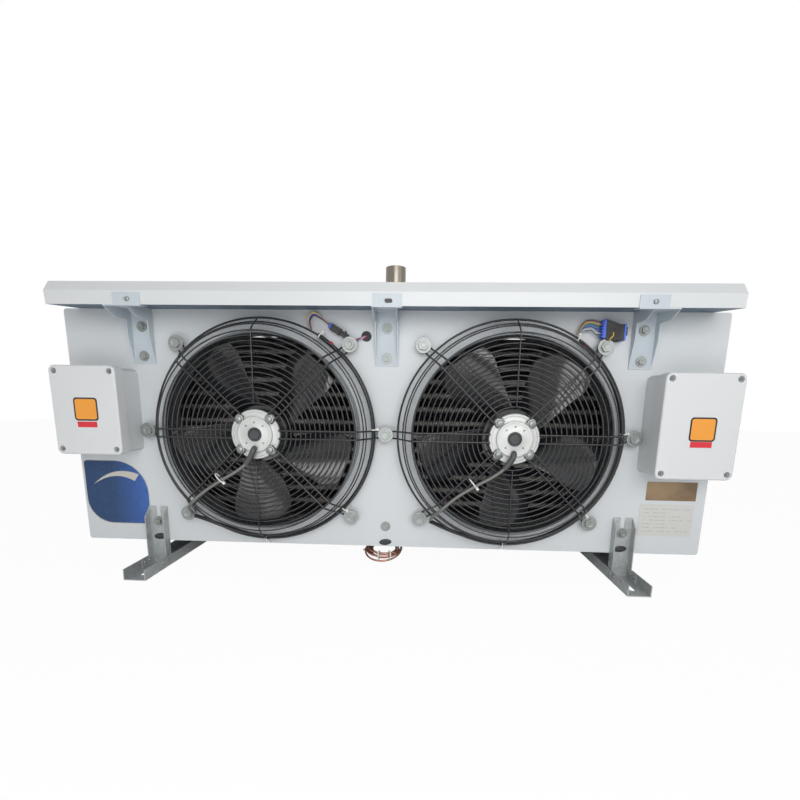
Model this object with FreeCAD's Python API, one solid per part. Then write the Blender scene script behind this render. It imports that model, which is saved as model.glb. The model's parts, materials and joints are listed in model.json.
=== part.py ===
import FreeCAD, Part
import math
import os
from FreeCAD import Vector

# Walk-in unit cooler with two axial fans, standing on its two hanging rails
# with the drip tray on top, as it is stored before it is hung.
# Millimetres. X to the right, Y to the rear, Z up. The origin is on the floor
# under the middle of the rails. The front panel faces -Y.

# Casing
CASE_WIDTH = 1280.0
CASE_HEIGHT = 470.0
CASE_DEPTH = 420.0
CASE_LIFT = 52.0
SHEET = 1.5
PANEL_FLANGE = 22.0
PANEL_CORNER = 6.0
COVER_WIDTH = 93.0
REAR_FLANGE = 36.0

# Hanging rails and their hangers
RAIL_LENGTH = 600.0
RAIL_FRONT = 100.0
RAIL_WIDTH = 44.0
RAIL_HEIGHT = 22.0
RAIL_WALL = 2.0
RAIL_X = 483.0
RAIL_SLOT_LENGTH = 36.0
RAIL_SLOT_WIDTH = 11.0
RAIL_SLOT_INSET = 42.0
HANGER_TOP = 127.0
HANGER_DEPTH = 20.0
HANGER_CHAMFER = 20.0
HANGER_BOLT_Z = 95.0
HANGER_SLOT = 9.0
PLUG_Z = 61.0
PLUG_LENGTH = 16.0
PLUG_WIDTH = 10.0
PLUG_PROUD = 2.0
PLUG_CORNER = 3.0

# Fans
FAN_PITCH = 480.0
RING_BORE = 186.0
RING_WALL = 2.0
RING_PROUD = 50.0
RING_FLANGE = 17.0
TIP_GAP = 10.0
BLADE_COUNT = 5
BLADE_START = {"left": 40.0, "right": 42.0}
BLADE_THICK = 2.5
HUB_WALL = 7.0
HUB_FRONT = 46.0
HUB_LENGTH = 42.0
BLADE_SECTIONS = ((0.0, 52.0, 36.0, 0.0, 5.0), (0.3, 75.0, 30.0, 6.0, 7.0), (0.62, 98.0, 24.0, 16.0, 9.0),
                  (0.87, 112.0, 20.0, 28.0, 9.0), (1.0, 92.0, 18.0, 38.0, 7.0))
BLADE_ROOT_SINK = 2.5
ROTOR_RADIUS = 47.0
ROTOR_WALL = 4.0
ROTOR_FRONT = 62.0
ROTOR_LENGTH = 60.0
SHAFT_RADIUS = 6.0
SHAFT_CLEARANCE = 0.05
STATOR_GAP = 2.0
STATOR_RADIUS = 46.0
STATOR_FLANGE = 9.0
STATOR_AIR_GAP = 0.5
STATOR_CORE = 44.0
PLATE_RADIUS = 33.0
PLATE_PROUD = 5.0
MOTOR_BOLT_PCD = 80.0
MOTOR_BOLT_HEAD = 4.0
MOTOR_BOLT_RADIUS = 5.6
MOTOR_FLANGE_RADIUS = 6.9
MOTOR_FLANGE_THICK = 1.5

# Fan guards, distances in front of the panel and radii about the motor
WIRE = 3.5
ARM_ANGLES = (0.0, 45.0, 135.0, 180.0, 225.0, 315.0)
ARM_WIRE_SPACING = 15.0
STAY_ANGLES = (90.0, 270.0)
ARM_INNER_RADIUS = 36.0
GUARD_RIM_RADIUS = 187.0
GUARD_RING_PITCH = 32.25
GUARD_RING_COUNT = 5
GUARD_SIDES = 40
BASE_RING_RADIUS = 216.0
RING_SEAT_GAP = 0.05
LUG_RADIUS = 240.0
LUG_FLAT = 16.0
SPACER_HEIGHT = 13.0
SPACER_RADIUS = 8.0
LUG_WASHER_RADIUS = 15.0
LUG_BOLT_FLATS = 17.0

# Drip tray, its inner panel, brackets and drain
TRAY_INSET = 30.0
TRAY_OVERHANG = 80.0
TRAY_REAR_OVERHANG = 20.0
TRAY_SLOPE = 6.0
TRAY_RIM_DROP = 8.0
TRAY_LIP_LEAN = 1.6
TRAY_LIP_HEIGHT = 23.4
TRAY_BEVEL_BACK = 14.0
TRAY_BEVEL_RISE = 18.6
BRACKET_WIDTH = 44.0
BRACKET_WALL = 2.0
BRACKET_DROP = 104.0
BRACKET_BOLTS_UP = (14.5, 70.5)
BRACKET_TAPER = ((16.0, 50.0), (18.0, 81.0), (53.0, 81.0))
TAB_WIDTH = 50.0
TAB_HEIGHT = 20.0
TAB_SHIFT = 24.0
TAB_SLOT_LENGTH = 13.0
TAB_SLOT_WIDTH = 5.0
TAB_SLOT_DOWN = 11.0
STRAP_DROP = 52.0
STRAP_CLEAR = 4.0
STRAP_BEND_DROP = 18.0
STUB_RADIUS = 24.15
STUB_WALL = 2.5
STUB_RISE = 146.0
STUB_Y = 60.0
STUB_COLLAR = 7.0
STUB_COLLAR_HEIGHT = 5.0

# Coil block
COIL_INSET = 95.0
FIN_DEPTH = 180.0
FIN_HEAD_ROOM = 32.0
FIN_FOOT_ROOM = 8.0
FIN_PITCH = 30.0
FIN_THICK = 1.6
FIN_CORE = 6.0
COIL_REAR_GAP = 8.0
END_PLATE = 2.0
END_FLANGE = 15.0
TUBE_RADIUS = 6.4
TUBE_PITCH = 34.0
BEND_COUNT = 5
BEND_STUB = 14.0
BEND_STEPS = 6
HEADER_RADIUS = 14.0
HEADER_OFFSET = 40.0
SUCTION_TAIL = 60.0
TAIL_RADIUS = 7.4
COPPER_COIL_RADIUS = 42.0
COPPER_COIL_WIDTH = 9.0
COPPER_COIL_SPREAD = (0.0, 3.5, 1.5)
COPPER_TURN_HEIGHT = 4.4
COPPER_COIL_Y = -152.0
COPPER_COIL_DROP = 24.0
COPPER_COIL_TILT = 14.0
CLIP_WIDTH = 8.0
CLIP_GAP = 0.6
CLIP_FOOT = 10.0

# Electrical boxes: distance beyond the outer lug, width, height
BOX_DEPTH = 75.0
BOX_LID = 26.0
BOX_WALL = 3.0
BOX_CORNER = 11.0
BOX_EDGE = 2.0
BOX_LID_LIP = 2.0
BOX_SCREW_INSET = 10.5
BOX_SCREW_RADIUS = 4.0
BOX_SCREW_HEAD = 3.0
BOX_SCREW_RECESS = 5.0
BOX_SCREW_POCKET = 5.5
BOX_BELOW_BRACKET = 9.0
BOX_SPECS = {"left": (-82.5, 127.0, 166.0), "right": (86.0, 138.0, 190.0)}

# Fasteners, and plates: distance beyond the right rail and below the right box, width, height
BOLT_WASHER_RADIUS = 10.0
BOLT_WASHER_THICK = 1.6
BOLT_FLATS = 11.0
BOLT_HEAD = 5.0
PLATE_THICK = 0.8
RATING_PLATE = (84.0, 95.5, 106.0, 66.0)
BRASS_PLATE = (89.0, 36.0, 98.0, 38.0)

# Fan wiring
SLEEVE_RADIUS = 4.0
LEAD_RADIUS = 3.0
SLEEVE_RING_RADIUS = 217.0
SLEEVE_FRONT = 14.4
SLEEVE_START = ((224.5, 229.0, 35.0), (223.5, 234.0, 19.0), (219.5, 242.0, 14.4))
SLEEVE_STEP = 12.0
SLEEVE_END = {"left": 420.0, "right": 416.0}
LEAD_ROUTE = ((58.0, 266.0, 83.0), (82.0, 251.0, 82.0), (114.0, 238.0, 80.5), (152.0, 229.0, 80.0),
              (191.0, 226.0, 83.5), (208.0, 226.5, 62.0), (220.5, 228.0, 40.5))
LEAD_SEAT = 0.8
ELBOW_RADIUS = 6.0
ELBOW_LENGTH = 12.0
ELBOW_STEP = 1.0

# Wire ends: X and Z from the axis of their fan, then width, height, depth and angle
GROMMET = (200.0, 187.0)
GROMMET_RADIUS = 10.0
GROMMET_PROUD = 3.0
LATCH_CONNECTOR = (146.0, 195.0, 34.0, 20.0, 16.0, -28.0)
BLOCK_CONNECTOR = (182.0, 203.5, 40.0, 30.0, 20.0, -6.0)
NECK_LENGTH = 6.0
NECK_INSET = 2.0

# Sides of the many-sided bars that stand for small round pieces
WIRE_SIDES = 6
BAR_SIDES = 8
DISC_SIDES = 12

# How far a cut runs past the sheet it opens
CUT_PAST = 9.0

PANEL_Y = -RAIL_LENGTH / 2 + RAIL_FRONT
REAR_Y = PANEL_Y + CASE_DEPTH
CASE_TOP = CASE_LIFT + CASE_HEIGHT
FAN_Z = CASE_LIFT + CASE_HEIGHT / 2
HALF = CASE_WIDTH / 2
COVER_X = HALF - COVER_WIDTH
TRAY_HALF = HALF - TRAY_INSET
TRAY_RIM_Z = CASE_TOP - TRAY_RIM_DROP
BRACKET_FOOT_Z = CASE_TOP - BRACKET_DROP
STRAP_FOOT_Z = CASE_TOP - STRAP_DROP
STUB_TOP = CASE_TOP + STUB_RISE
FIN_HALF = HALF - COIL_INSET
FIN_BOTTOM = CASE_LIFT + FIN_FOOT_ROOM
FIN_HEIGHT = CASE_TOP - FIN_HEAD_ROOM - FIN_BOTTOM
COIL_Y = REAR_Y - COIL_REAR_GAP - FIN_DEPTH / 2
FAN_SIDES = {"left": -FAN_PITCH / 2, "right": FAN_PITCH / 2}
SLOPE = math.tan(math.radians(TRAY_SLOPE))
GUARD_FACE = ROTOR_FRONT + STATOR_GAP + STATOR_FLANGE + WIRE
UP = Vector(0, 0, 1)
ACROSS = Vector(1, 0, 0)
FORWARD = Vector(0, -1, 0)


def block(x0, x1, y0, y1, z0, z1):
    """Box between two corners."""
    return Part.makeBox(x1 - x0, y1 - y0, z1 - z0, Vector(x0, y0, z0))


def rod(x, z, front, length, radius):
    """Cylinder that starts FRONT mm ahead of the panel and runs rearwards."""
    return Part.makeCylinder(radius, length, Vector(x, PANEL_Y - front, z), Vector(0, 1, 0))


def extruded(points, vector):
    """Solid swept from a closed flat outline of 3-D points."""
    face = Part.Face(Part.makePolygon(points + [points[0]]))
    return face.extrude(vector)


def side_profile(points, x0, x1):
    """Outline of (y, z) points swept from x0 to x1."""
    return extruded([Vector(x0, y, z) for y, z in points], Vector(x1 - x0, 0, 0))


def turned(points, x, z):
    """Outline of (radius, distance ahead of the panel) turned about a fan axis."""
    outline = [Vector(x + r, PANEL_Y - p, z) for r, p in points]
    face = Part.Face(Part.makePolygon(outline + [outline[0]]))
    return face.revolve(Vector(x, 0, z), Vector(0, 1, 0), 360)


def offset_line(points, distance):
    """Open line of 2-D points moved sideways by distance, with mitred corners."""
    result = []
    for i, (a, b) in enumerate(points):
        normals = []
        for j in (i - 1, i):
            if 0 <= j < len(points) - 1:
                du = points[j + 1][0] - points[j][0]
                dv = points[j + 1][1] - points[j][1]
                size = math.hypot(du, dv)
                normals.append((-dv / size, du / size))
        nu = sum(n[0] for n in normals) / len(normals)
        nv = sum(n[1] for n in normals) / len(normals)
        scale = distance / (nu * nu + nv * nv)
        result.append((a + nu * scale, b + nv * scale))
    return result


def strip(points, thick):
    """Closed outline of a sheet of the given thickness along an open line."""
    return list(points) + offset_line(points, thick)[::-1]


def polygon(centre, axis, radius, sides):
    """Corners of a regular polygon square to an axis."""
    across = axis.cross(UP if abs(axis.z) < 0.9 * axis.Length else ACROSS).normalize()
    up = across.cross(axis).normalize()
    corners = []
    for i in range(sides):
        angle = math.tau * (i + 0.5) / sides
        corners.append(centre + across * (radius * math.cos(angle)) + up * (radius * math.sin(angle)))
    return corners


def closed_wire(corners):
    """Closed wire through corners."""
    return Part.makePolygon([*corners, corners[0]])


def bar(centre, axis, radius, sides):
    """Many-sided bar that runs from a centre along an axis."""
    return Part.Face(closed_wire(polygon(centre, axis, radius, sides))).extrude(axis)


def disc(x, z, front, length, radius, sides):
    """Many-sided bar that starts FRONT mm ahead of the panel and runs rearwards."""
    return bar(Vector(x, PANEL_Y - front, z), FORWARD * -length, radius, sides)


def hexagon(x, z, front, length, flats):
    """Hexagon head whose rear face is FRONT mm ahead of the panel."""
    return disc(x, z, front + length, length, flats / math.sqrt(3), 6)


def rounded_block(x0, x1, y0, y1, z0, z1, radius):
    """Box with its four edges along Y rounded."""
    solid = block(x0, x1, y0, y1, z0, z1)
    edges = [e for e in solid.Edges if abs(e.Vertexes[0].Y - e.Vertexes[-1].Y) > (y1 - y0) / 2]
    return solid.makeFillet(radius, edges)


def stadium(x, z, length, width, y0, y1):
    """Upright slot shape with its long side along X."""
    reach = (length - width) / 2
    ends = [Part.makeCylinder(width / 2, y1 - y0, Vector(x + s * reach, y0, z), Vector(0, 1, 0))
            for s in (-1, 1)]
    middle = block(x - reach, x + reach, y0, y1, z - width / 2, z + width / 2)
    return middle.fuse(ends).removeSplitter()


def fan_turn(shape, x, angle):
    """Turn a shape about a fan axis, from +X towards +Z."""
    turned_shape = shape.copy()
    turned_shape.rotate(Vector(x, 0, FAN_Z), FORWARD, angle)
    return turned_shape


def around_fan(x, radius, angle):
    """Point (x, z) at a radius and angle about a fan axis."""
    turn = math.radians(angle)
    return x + radius * math.cos(turn), FAN_Z + radius * math.sin(turn)


def tube_along(points, radius):
    """Six-sided tube along straight runs joined by tangent arcs."""
    edges = []
    start = points[0]
    for before, here, after in zip(points, points[1:], points[2:]):
        first = here - before
        second = after - here
        turn = first.getAngle(second)
        shorter = min(first.Length, second.Length)
        setback = 0.45 * shorter
        arc_radius = setback / math.tan(turn / 2)
        first.normalize()
        second.normalize()
        entry = here - first * setback
        leave = here + second * setback
        middle_dir = second - first
        middle_dir.normalize()
        bulge = arc_radius / math.cos(turn / 2) - arc_radius
        edges.append(Part.LineSegment(start, entry).toShape())
        edges.append(Part.Arc(entry, here + middle_dir * bulge, leave).toShape())
        start = leave
    edges.append(Part.LineSegment(start, points[-1]).toShape())
    path = Part.Wire(edges)
    section = closed_wire(polygon(points[0], points[1] - points[0], radius, WIRE_SIDES))
    return path.makePipeShell([section], True, False)


def tray_rim_z(y):
    """Height of the sloping underside of the tray at a depth."""
    return TRAY_RIM_Z + (y - (PANEL_Y - TRAY_OVERHANG)) * SLOPE


def front_panel():
    """Folded front sheet with the two fan openings."""
    outer = rounded_block(-HALF, HALF, PANEL_Y, PANEL_Y + PANEL_FLANGE, CASE_LIFT, CASE_TOP, PANEL_CORNER)
    inner = block(-HALF + SHEET, HALF - SHEET, PANEL_Y + SHEET, PANEL_Y + PANEL_FLANGE,
                  CASE_LIFT + SHEET, CASE_TOP - SHEET)
    solid = outer.cut(inner)
    for x in FAN_SIDES.values():
        solid = solid.cut(rod(x, FAN_Z, 1.0, PANEL_FLANGE, RING_BORE + RING_WALL))
    return solid


def side_cover(side):
    """End cover: outer wall, rear wall and top, open towards the coil."""
    x0, x1 = sorted((side * COVER_X, side * HALF))
    outer = block(x0, x1, PANEL_Y + PANEL_FLANGE, REAR_Y, CASE_LIFT + SHEET, CASE_TOP)
    a0, a1 = sorted((side * (COVER_X - 1), side * (HALF - SHEET)))
    inner = block(a0, a1, PANEL_Y + PANEL_FLANGE - 1, REAR_Y - SHEET, CASE_LIFT, CASE_TOP - SHEET)
    return outer.cut(inner)


def bottom_plate():
    """Large plate over the rails with a rear flange for the rear hangers."""
    base = block(-HALF, HALF, PANEL_Y + PANEL_FLANGE, REAR_Y, CASE_LIFT, CASE_LIFT + SHEET)
    flange = block(-COVER_X, COVER_X, REAR_Y - SHEET, REAR_Y, CASE_LIFT, CASE_LIFT + REAR_FLANGE)
    return base.fuse(flange).removeSplitter()


def rear_cross_rail():
    """Folded angle that ties the end covers together above the coil."""
    line = [(REAR_Y, STRAP_FOOT_Z), (REAR_Y, CASE_TOP), (REAR_Y - REAR_FLANGE, CASE_TOP)]
    return side_profile(strip(line, SHEET), -COVER_X, COVER_X)


def fan_divider():
    """Sheet between the two fan chambers."""
    front = PANEL_Y + SHEET
    rear = REAR_Y - COIL_REAR_GAP - FIN_DEPTH
    return block(-SHEET / 2, SHEET / 2, front, rear, CASE_LIFT + SHEET, CASE_TOP - SHEET).cut(
        block(-SHEET, SHEET, front - 1, PANEL_Y + PANEL_FLANGE, 0, CASE_LIFT + 2 * SHEET))


def fan_ring(x):
    """Inlet ring: a short tube through the panel with a flange behind it."""
    outer = RING_BORE + RING_WALL
    return turned([(RING_BORE, RING_PROUD), (outer, RING_PROUD), (outer, -SHEET),
                   (outer + RING_FLANGE, -SHEET), (outer + RING_FLANGE, -2 * SHEET),
                   (RING_BORE, -2 * SHEET)], x, FAN_Z)


def guard_wire(x, angle, sideways, line):
    """Guard wire that runs out from the axis along a line of (radius, front)."""
    corners = [Vector(x + r, PANEL_Y - p, FAN_Z + sideways - WIRE / 2) for r, p in strip(line, -WIRE)]
    return fan_turn(extruded(corners, UP * WIRE), x, angle)


def arm(x, angle, lug_front):
    """U-shaped guard arm: two wires bent back at the rim, and the bend round the bolt."""
    bend = LUG_RADIUS + ARM_WIRE_SPACING / 2
    line = [(ARM_INNER_RADIUS, GUARD_FACE), (GUARD_RIM_RADIUS + WIRE, GUARD_FACE),
            (LUG_RADIUS - LUG_FLAT, lug_front), (bend, lug_front)]
    wires = [guard_wire(x, angle, s * ARM_WIRE_SPACING / 2, line) for s in (-1, 1)]
    half = (ARM_WIRE_SPACING - WIRE) / 2
    end = block(x + bend - WIRE, x + bend, PANEL_Y - lug_front, PANEL_Y - lug_front + WIRE,
                FAN_Z - half, FAN_Z + half)
    return wires + [fan_turn(end, x, angle)]


def guard(x, shared_front):
    """Wire basket: arm wires, face rings behind them and the base ring."""
    solids = []
    for angle in ARM_ANGLES:
        on_shared = abs(around_fan(x, LUG_RADIUS, angle)[0]) < 1.0
        solids += arm(x, angle, SPACER_HEIGHT + WIRE + (shared_front if on_shared else 0.0))
    for i in range(GUARD_RING_COUNT):
        solids.append(guard_ring(x, GUARD_RIM_RADIUS - i * GUARD_RING_PITCH, GUARD_FACE - WIRE))
    run = GUARD_FACE - SPACER_HEIGHT - WIRE
    fall = run / (LUG_RADIUS - LUG_FLAT - GUARD_RIM_RADIUS - WIRE)
    drop = (BASE_RING_RADIUS - GUARD_RIM_RADIUS - WIRE) * fall
    seat = WIRE * math.hypot(1, fall) + RING_SEAT_GAP
    solids.append(guard_ring(x, BASE_RING_RADIUS, GUARD_FACE - drop - seat))
    inner = GUARD_RIM_RADIUS - (GUARD_RING_COUNT - 1) * GUARD_RING_PITCH - WIRE
    stay = [(inner, GUARD_FACE), (GUARD_RIM_RADIUS + WIRE, GUARD_FACE),
            (BASE_RING_RADIUS, GUARD_FACE - drop)]
    solids += [guard_wire(x, angle, 0.0, stay) for angle in STAY_ANGLES]
    return Part.makeCompound(solids)


def guard_ring(x, radius, front):
    """Square-section ring whose front face is FRONT mm ahead of the panel."""
    outer = disc(x, FAN_Z, front, WIRE, radius, GUARD_SIDES)
    return outer.cut(disc(x, FAN_Z, front, WIRE, radius - WIRE, GUARD_SIDES))


def stator(x):
    """Motor front: mounting disc, raised plate and core with the shaft bore."""
    disc_front = ROTOR_FRONT + STATOR_GAP + STATOR_FLANGE
    disc_rear = ROTOR_FRONT + STATOR_GAP
    core = ROTOR_RADIUS - ROTOR_WALL - STATOR_AIR_GAP
    bore = SHAFT_RADIUS + SHAFT_CLEARANCE
    core_rear = disc_rear - STATOR_CORE
    return turned([(0, disc_front + PLATE_PROUD), (PLATE_RADIUS, disc_front + PLATE_PROUD),
                   (PLATE_RADIUS, disc_front), (STATOR_RADIUS, disc_front),
                   (STATOR_RADIUS, disc_rear), (core, disc_rear), (core, core_rear),
                   (bore, core_rear), (bore, disc_rear), (0, disc_rear)], x, FAN_Z)


def rotor(x):
    """Outer rotor bell with the shaft that runs in the stator."""
    rear = ROTOR_FRONT - ROTOR_LENGTH
    shaft_front = ROTOR_FRONT - STATOR_GAP
    inner = ROTOR_RADIUS - ROTOR_WALL
    return turned([(0, rear), (ROTOR_RADIUS, rear), (ROTOR_RADIUS, ROTOR_FRONT), (inner, ROTOR_FRONT),
                   (inner, rear + ROTOR_WALL), (SHAFT_RADIUS, rear + ROTOR_WALL),
                   (SHAFT_RADIUS, shaft_front), (0, shaft_front)], x, FAN_Z)


def blade_section(radius, chord, pitch, lead, camber):
    """Corners of a blade at one radius, round its upper and then its lower side."""
    rise = math.sin(math.radians(pitch))
    run = math.cos(math.radians(pitch))
    middle = HUB_FRONT - HUB_LENGTH / 2
    stations = ((-0.5, 0.0), (-0.17, 0.9), (0.17, 0.9), (0.5, 0.0))
    upper = []
    lower = []
    for along, bow in stations:
        for side, points in ((0.5, upper), (-0.5, lower)):
            out = bow * camber + side * BLADE_THICK
            u = lead + along * chord * run - out * rise
            w = middle - along * chord * rise - out * run
            points.append(Vector(radius, -w, u))
    return upper + lower[::-1]


def faceted(sections):
    """Solid with flat faces through sections that have as many corners each."""
    faces = []
    count = len(sections[0])
    for near, far in zip(sections, sections[1:]):
        for i in range(count):
            j = (i + 1) % count
            faces.append((near[i], near[j], far[j]))
            faces.append((near[i], far[j], far[i]))
    for end in (sections[0], sections[-1]):
        for i in range(count // 2 - 1):
            a, b, c, d = end[i], end[i + 1], end[count - 2 - i], end[count - 1 - i]
            faces += [(a, b, c), (a, c, d)]
    shell = Part.makeShell([Part.Face(Part.makePolygon([*face, face[0]])) for face in faces])
    solid = Part.makeSolid(shell)
    if solid.Volume < 0:
        solid.reverse()
    return solid


def impeller(x, start):
    """Hub ring with its ring of twisted, swept blades."""
    hub_outer = ROTOR_RADIUS + HUB_WALL
    rear = HUB_FRONT - HUB_LENGTH
    hub = turned([(ROTOR_RADIUS, HUB_FRONT), (hub_outer, HUB_FRONT), (hub_outer, rear),
                  (ROTOR_RADIUS, rear)], x, FAN_Z)
    root = hub_outer - BLADE_ROOT_SINK
    span = blade_reach() - root
    blade = faceted([blade_section(root + share * span, *rest) for share, *rest in BLADE_SECTIONS])
    blade.translate(Vector(x, PANEL_Y, FAN_Z))
    solid = hub
    for i in range(BLADE_COUNT):
        solid = solid.fuse(fan_turn(blade, x, start + i * 360.0 / BLADE_COUNT))
    return solid


def blade_reach():
    """Distance of a blade's flat outer end from the axis, so that its corners clear the ring."""
    chord, pitch, lead = BLADE_SECTIONS[-1][1:4]
    corner = lead + chord / 2 * math.cos(math.radians(pitch))
    return math.sqrt((RING_BORE - TIP_GAP) ** 2 - corner ** 2)


def motor_bolts():
    """Four flanged heads on each motor that clamp the arm wires."""
    top = GUARD_FACE + MOTOR_FLANGE_THICK
    solids = []
    for x in FAN_SIDES.values():
        for angle in (45, 135, 225, 315):
            bx, bz = around_fan(x, MOTOR_BOLT_PCD / 2, angle)
            flange = disc(bx, bz, top, MOTOR_FLANGE_THICK, MOTOR_FLANGE_RADIUS, DISC_SIDES)
            head = disc(bx, bz, top + MOTOR_BOLT_HEAD, MOTOR_BOLT_HEAD, MOTOR_BOLT_RADIUS, BAR_SIDES)
            solids.append(flange.fuse(head))
    return Part.makeCompound(solids)


def lug_points():
    """The eleven guard lugs, and whether two guards share one."""
    points = {}
    for x in FAN_SIDES.values():
        for angle in ARM_ANGLES:
            px, pz = around_fan(x, LUG_RADIUS, angle)
            key = (round(px, 3), round(pz, 3))
            points[key] = points.get(key, 0) + 1
    return points


def guard_spacers():
    """Round spacers between the panel and the guard lugs."""
    return Part.makeCompound([disc(px, pz, SPACER_HEIGHT, SPACER_HEIGHT, SPACER_RADIUS, BAR_SIDES)
                              for px, pz in lug_points()])


def guard_bolts():
    """Large washers and hexagon heads that clamp the guard lugs."""
    solids = []
    for (px, pz), count in lug_points().items():
        base = SPACER_HEIGHT + WIRE + (count - 1) * WIRE
        front = base + BOLT_WASHER_THICK
        solids.append(disc(px, pz, front, BOLT_WASHER_THICK, LUG_WASHER_RADIUS, DISC_SIDES))
        solids.append(hexagon(px, pz, front, BOLT_HEAD, LUG_BOLT_FLATS))
    return Part.makeCompound(solids)


def tray_outline():
    """Outer (y, z) line of the tray from the front rim to the rear rim."""
    front = PANEL_Y - TRAY_OVERHANG
    rear = REAR_Y + TRAY_REAR_OVERHANG
    crease_z = TRAY_RIM_Z + TRAY_LIP_HEIGHT
    top_y = front - TRAY_LIP_LEAN + TRAY_BEVEL_BACK
    top_z = crease_z + TRAY_BEVEL_RISE
    return [(front, TRAY_RIM_Z), (front - TRAY_LIP_LEAN, crease_z), (top_y, top_z),
            (rear, top_z + (rear - top_y) * SLOPE), (rear, tray_rim_z(rear))]


def drip_tray():
    """Folded tray, open below, with a bevelled front lip and closed ends."""
    line = tray_outline()
    half = TRAY_HALF
    outer = side_profile(line, -half, half)
    inside = offset_line(line, -SHEET)
    ends = [(y, z - CUT_PAST) for y, z in (inside[0], inside[-1])]
    inside = [ends[0], *inside[1:-1], ends[1]]
    solid = outer.cut(side_profile(inside, -half + SHEET, half - SHEET))
    bore = Part.makeCylinder(STUB_RADIUS - STUB_WALL, STUB_TOP, Vector(0, STUB_Y, 0), UP)
    return solid.cut(bore)


def tray_inner_panel():
    """Sloping panel that closes the tray ahead of the coil."""
    y0 = PANEL_Y - TRAY_OVERHANG + SHEET
    y1 = REAR_Y - COIL_REAR_GAP - FIN_DEPTH
    line = [(y0, tray_rim_z(y0)), (y1, tray_rim_z(y1))]
    half = TRAY_HALF - SHEET
    return side_profile(strip(line, SHEET), -half, half)


def drain_stub():
    """Drain pipe with a collar seated on the sloping tray."""
    top_y, top_z = tray_outline()[2]
    floor_z = top_z + (STUB_Y - top_y) * SLOPE
    tilt = (STUB_RADIUS + STUB_COLLAR) * SLOPE
    base = floor_z - tilt
    collar_top = floor_z + STUB_COLLAR_HEIGHT + tilt
    outer = Part.makeCylinder(STUB_RADIUS, STUB_TOP - base, Vector(0, STUB_Y, base), UP)
    collar = Part.makeCylinder(STUB_RADIUS + STUB_COLLAR, collar_top - base, Vector(0, STUB_Y, base), UP)
    bore = Part.makeCylinder(STUB_RADIUS - STUB_WALL, STUB_TOP, Vector(0, STUB_Y, 0), UP)
    half = TRAY_HALF
    return outer.fuse(collar).cut(side_profile(tray_outline(), -half, half)).cut(bore)


def tray_bracket(x, tab_x):
    """Channel bracket on the panel: web, tapered flanges, shelf and slotted tab."""
    half = BRACKET_WIDTH / 2
    lip_y = PANEL_Y - TRAY_OVERHANG
    shelf = [(PANEL_Y, tray_rim_z(PANEL_Y)), (lip_y, TRAY_RIM_Z)]
    web = block(x - half, x + half, PANEL_Y - BRACKET_WALL, PANEL_Y, BRACKET_FOOT_Z,
                tray_rim_z(PANEL_Y) - BRACKET_WALL)
    plate = side_profile(strip(shelf, BRACKET_WALL), x - half, x + half)
    solid = web.fuse(plate)
    foot = [(PANEL_Y, BRACKET_FOOT_Z)]
    foot += [(PANEL_Y - p, BRACKET_FOOT_Z + h) for p, h in BRACKET_TAPER]
    outline = foot + [(lip_y, TRAY_RIM_Z - BRACKET_WALL), (lip_y, TRAY_RIM_Z), shelf[0]]
    for x0 in (x - half, x + half - BRACKET_WALL):
        solid = solid.fuse(side_profile(outline, x0, x0 + BRACKET_WALL))
    lean = TAB_HEIGHT * TRAY_LIP_LEAN / TRAY_LIP_HEIGHT
    tab_line = [(lip_y + TAB_HEIGHT, tray_rim_z(lip_y + TAB_HEIGHT)), (lip_y, TRAY_RIM_Z),
                (lip_y - lean, TRAY_RIM_Z + TAB_HEIGHT)]
    tab = side_profile(strip(tab_line, BRACKET_WALL), tab_x - TAB_WIDTH / 2, tab_x + TAB_WIDTH / 2)
    slot_z = TRAY_RIM_Z + TAB_HEIGHT - TAB_SLOT_DOWN
    slot = stadium(tab_x, slot_z, TAB_SLOT_LENGTH, TAB_SLOT_WIDTH, lip_y - CUT_PAST, lip_y)
    slot = slot.cut(side_profile(tray_outline(), -HALF, HALF))
    behind = block(-HALF, HALF, PANEL_Y, PANEL_Y + BRACKET_WALL, CASE_LIFT, CASE_TOP + BRACKET_WALL)
    return solid.fuse(tab).cut(slot).cut(behind).removeSplitter()


def rear_strap(x):
    """Strap from the rear cross rail up to the rear wall of the tray."""
    rear = REAR_Y + TRAY_REAR_OVERHANG
    under = tray_rim_z(rear)
    line = [(REAR_Y, STRAP_FOOT_Z + STRAP_CLEAR), (REAR_Y, under - STRAP_BEND_DROP),
            (rear, under - STRAP_CLEAR), (rear, under + TAB_HEIGHT)]
    return side_profile(strip(line, -BRACKET_WALL), x - BRACKET_WIDTH / 2, x + BRACKET_WIDTH / 2)


def hanger(x, front):
    """Channel hanger nested in a rail, bolted to the front panel or rear flange."""
    half = RAIL_WIDTH / 2 - RAIL_WALL
    face = PANEL_Y
    web = block(x - half, x + half, face - RAIL_WALL, face, RAIL_WALL, HANGER_TOP)
    slot = block(x - HANGER_SLOT / 2, x + HANGER_SLOT / 2, face - RAIL_WALL, face, HANGER_BOLT_Z, HANGER_TOP)
    bottom = Part.makeCylinder(HANGER_SLOT / 2, RAIL_WALL, Vector(x, face - RAIL_WALL, HANGER_BOLT_Z),
                               Vector(0, 1, 0))
    solid = web.cut(slot).cut(bottom)
    outline = [(face, RAIL_WALL), (face - HANGER_DEPTH, RAIL_WALL),
               (face - HANGER_DEPTH, HANGER_TOP - HANGER_CHAMFER), (face, HANGER_TOP)]
    for x0 in (x - half, x + half - RAIL_WALL):
        solid = solid.fuse(side_profile(outline, x0, x0 + RAIL_WALL))
    solid = solid.removeSplitter()
    if not front:
        solid = solid.mirror(Vector(0, (PANEL_Y + REAR_Y) / 2, 0), Vector(0, 1, 0))
        keep = block(-HALF, HALF, REAR_Y, REAR_Y + HANGER_DEPTH, 0, CASE_LIFT + REAR_FLANGE)
        solid = solid.common(keep)
    return solid


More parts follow.
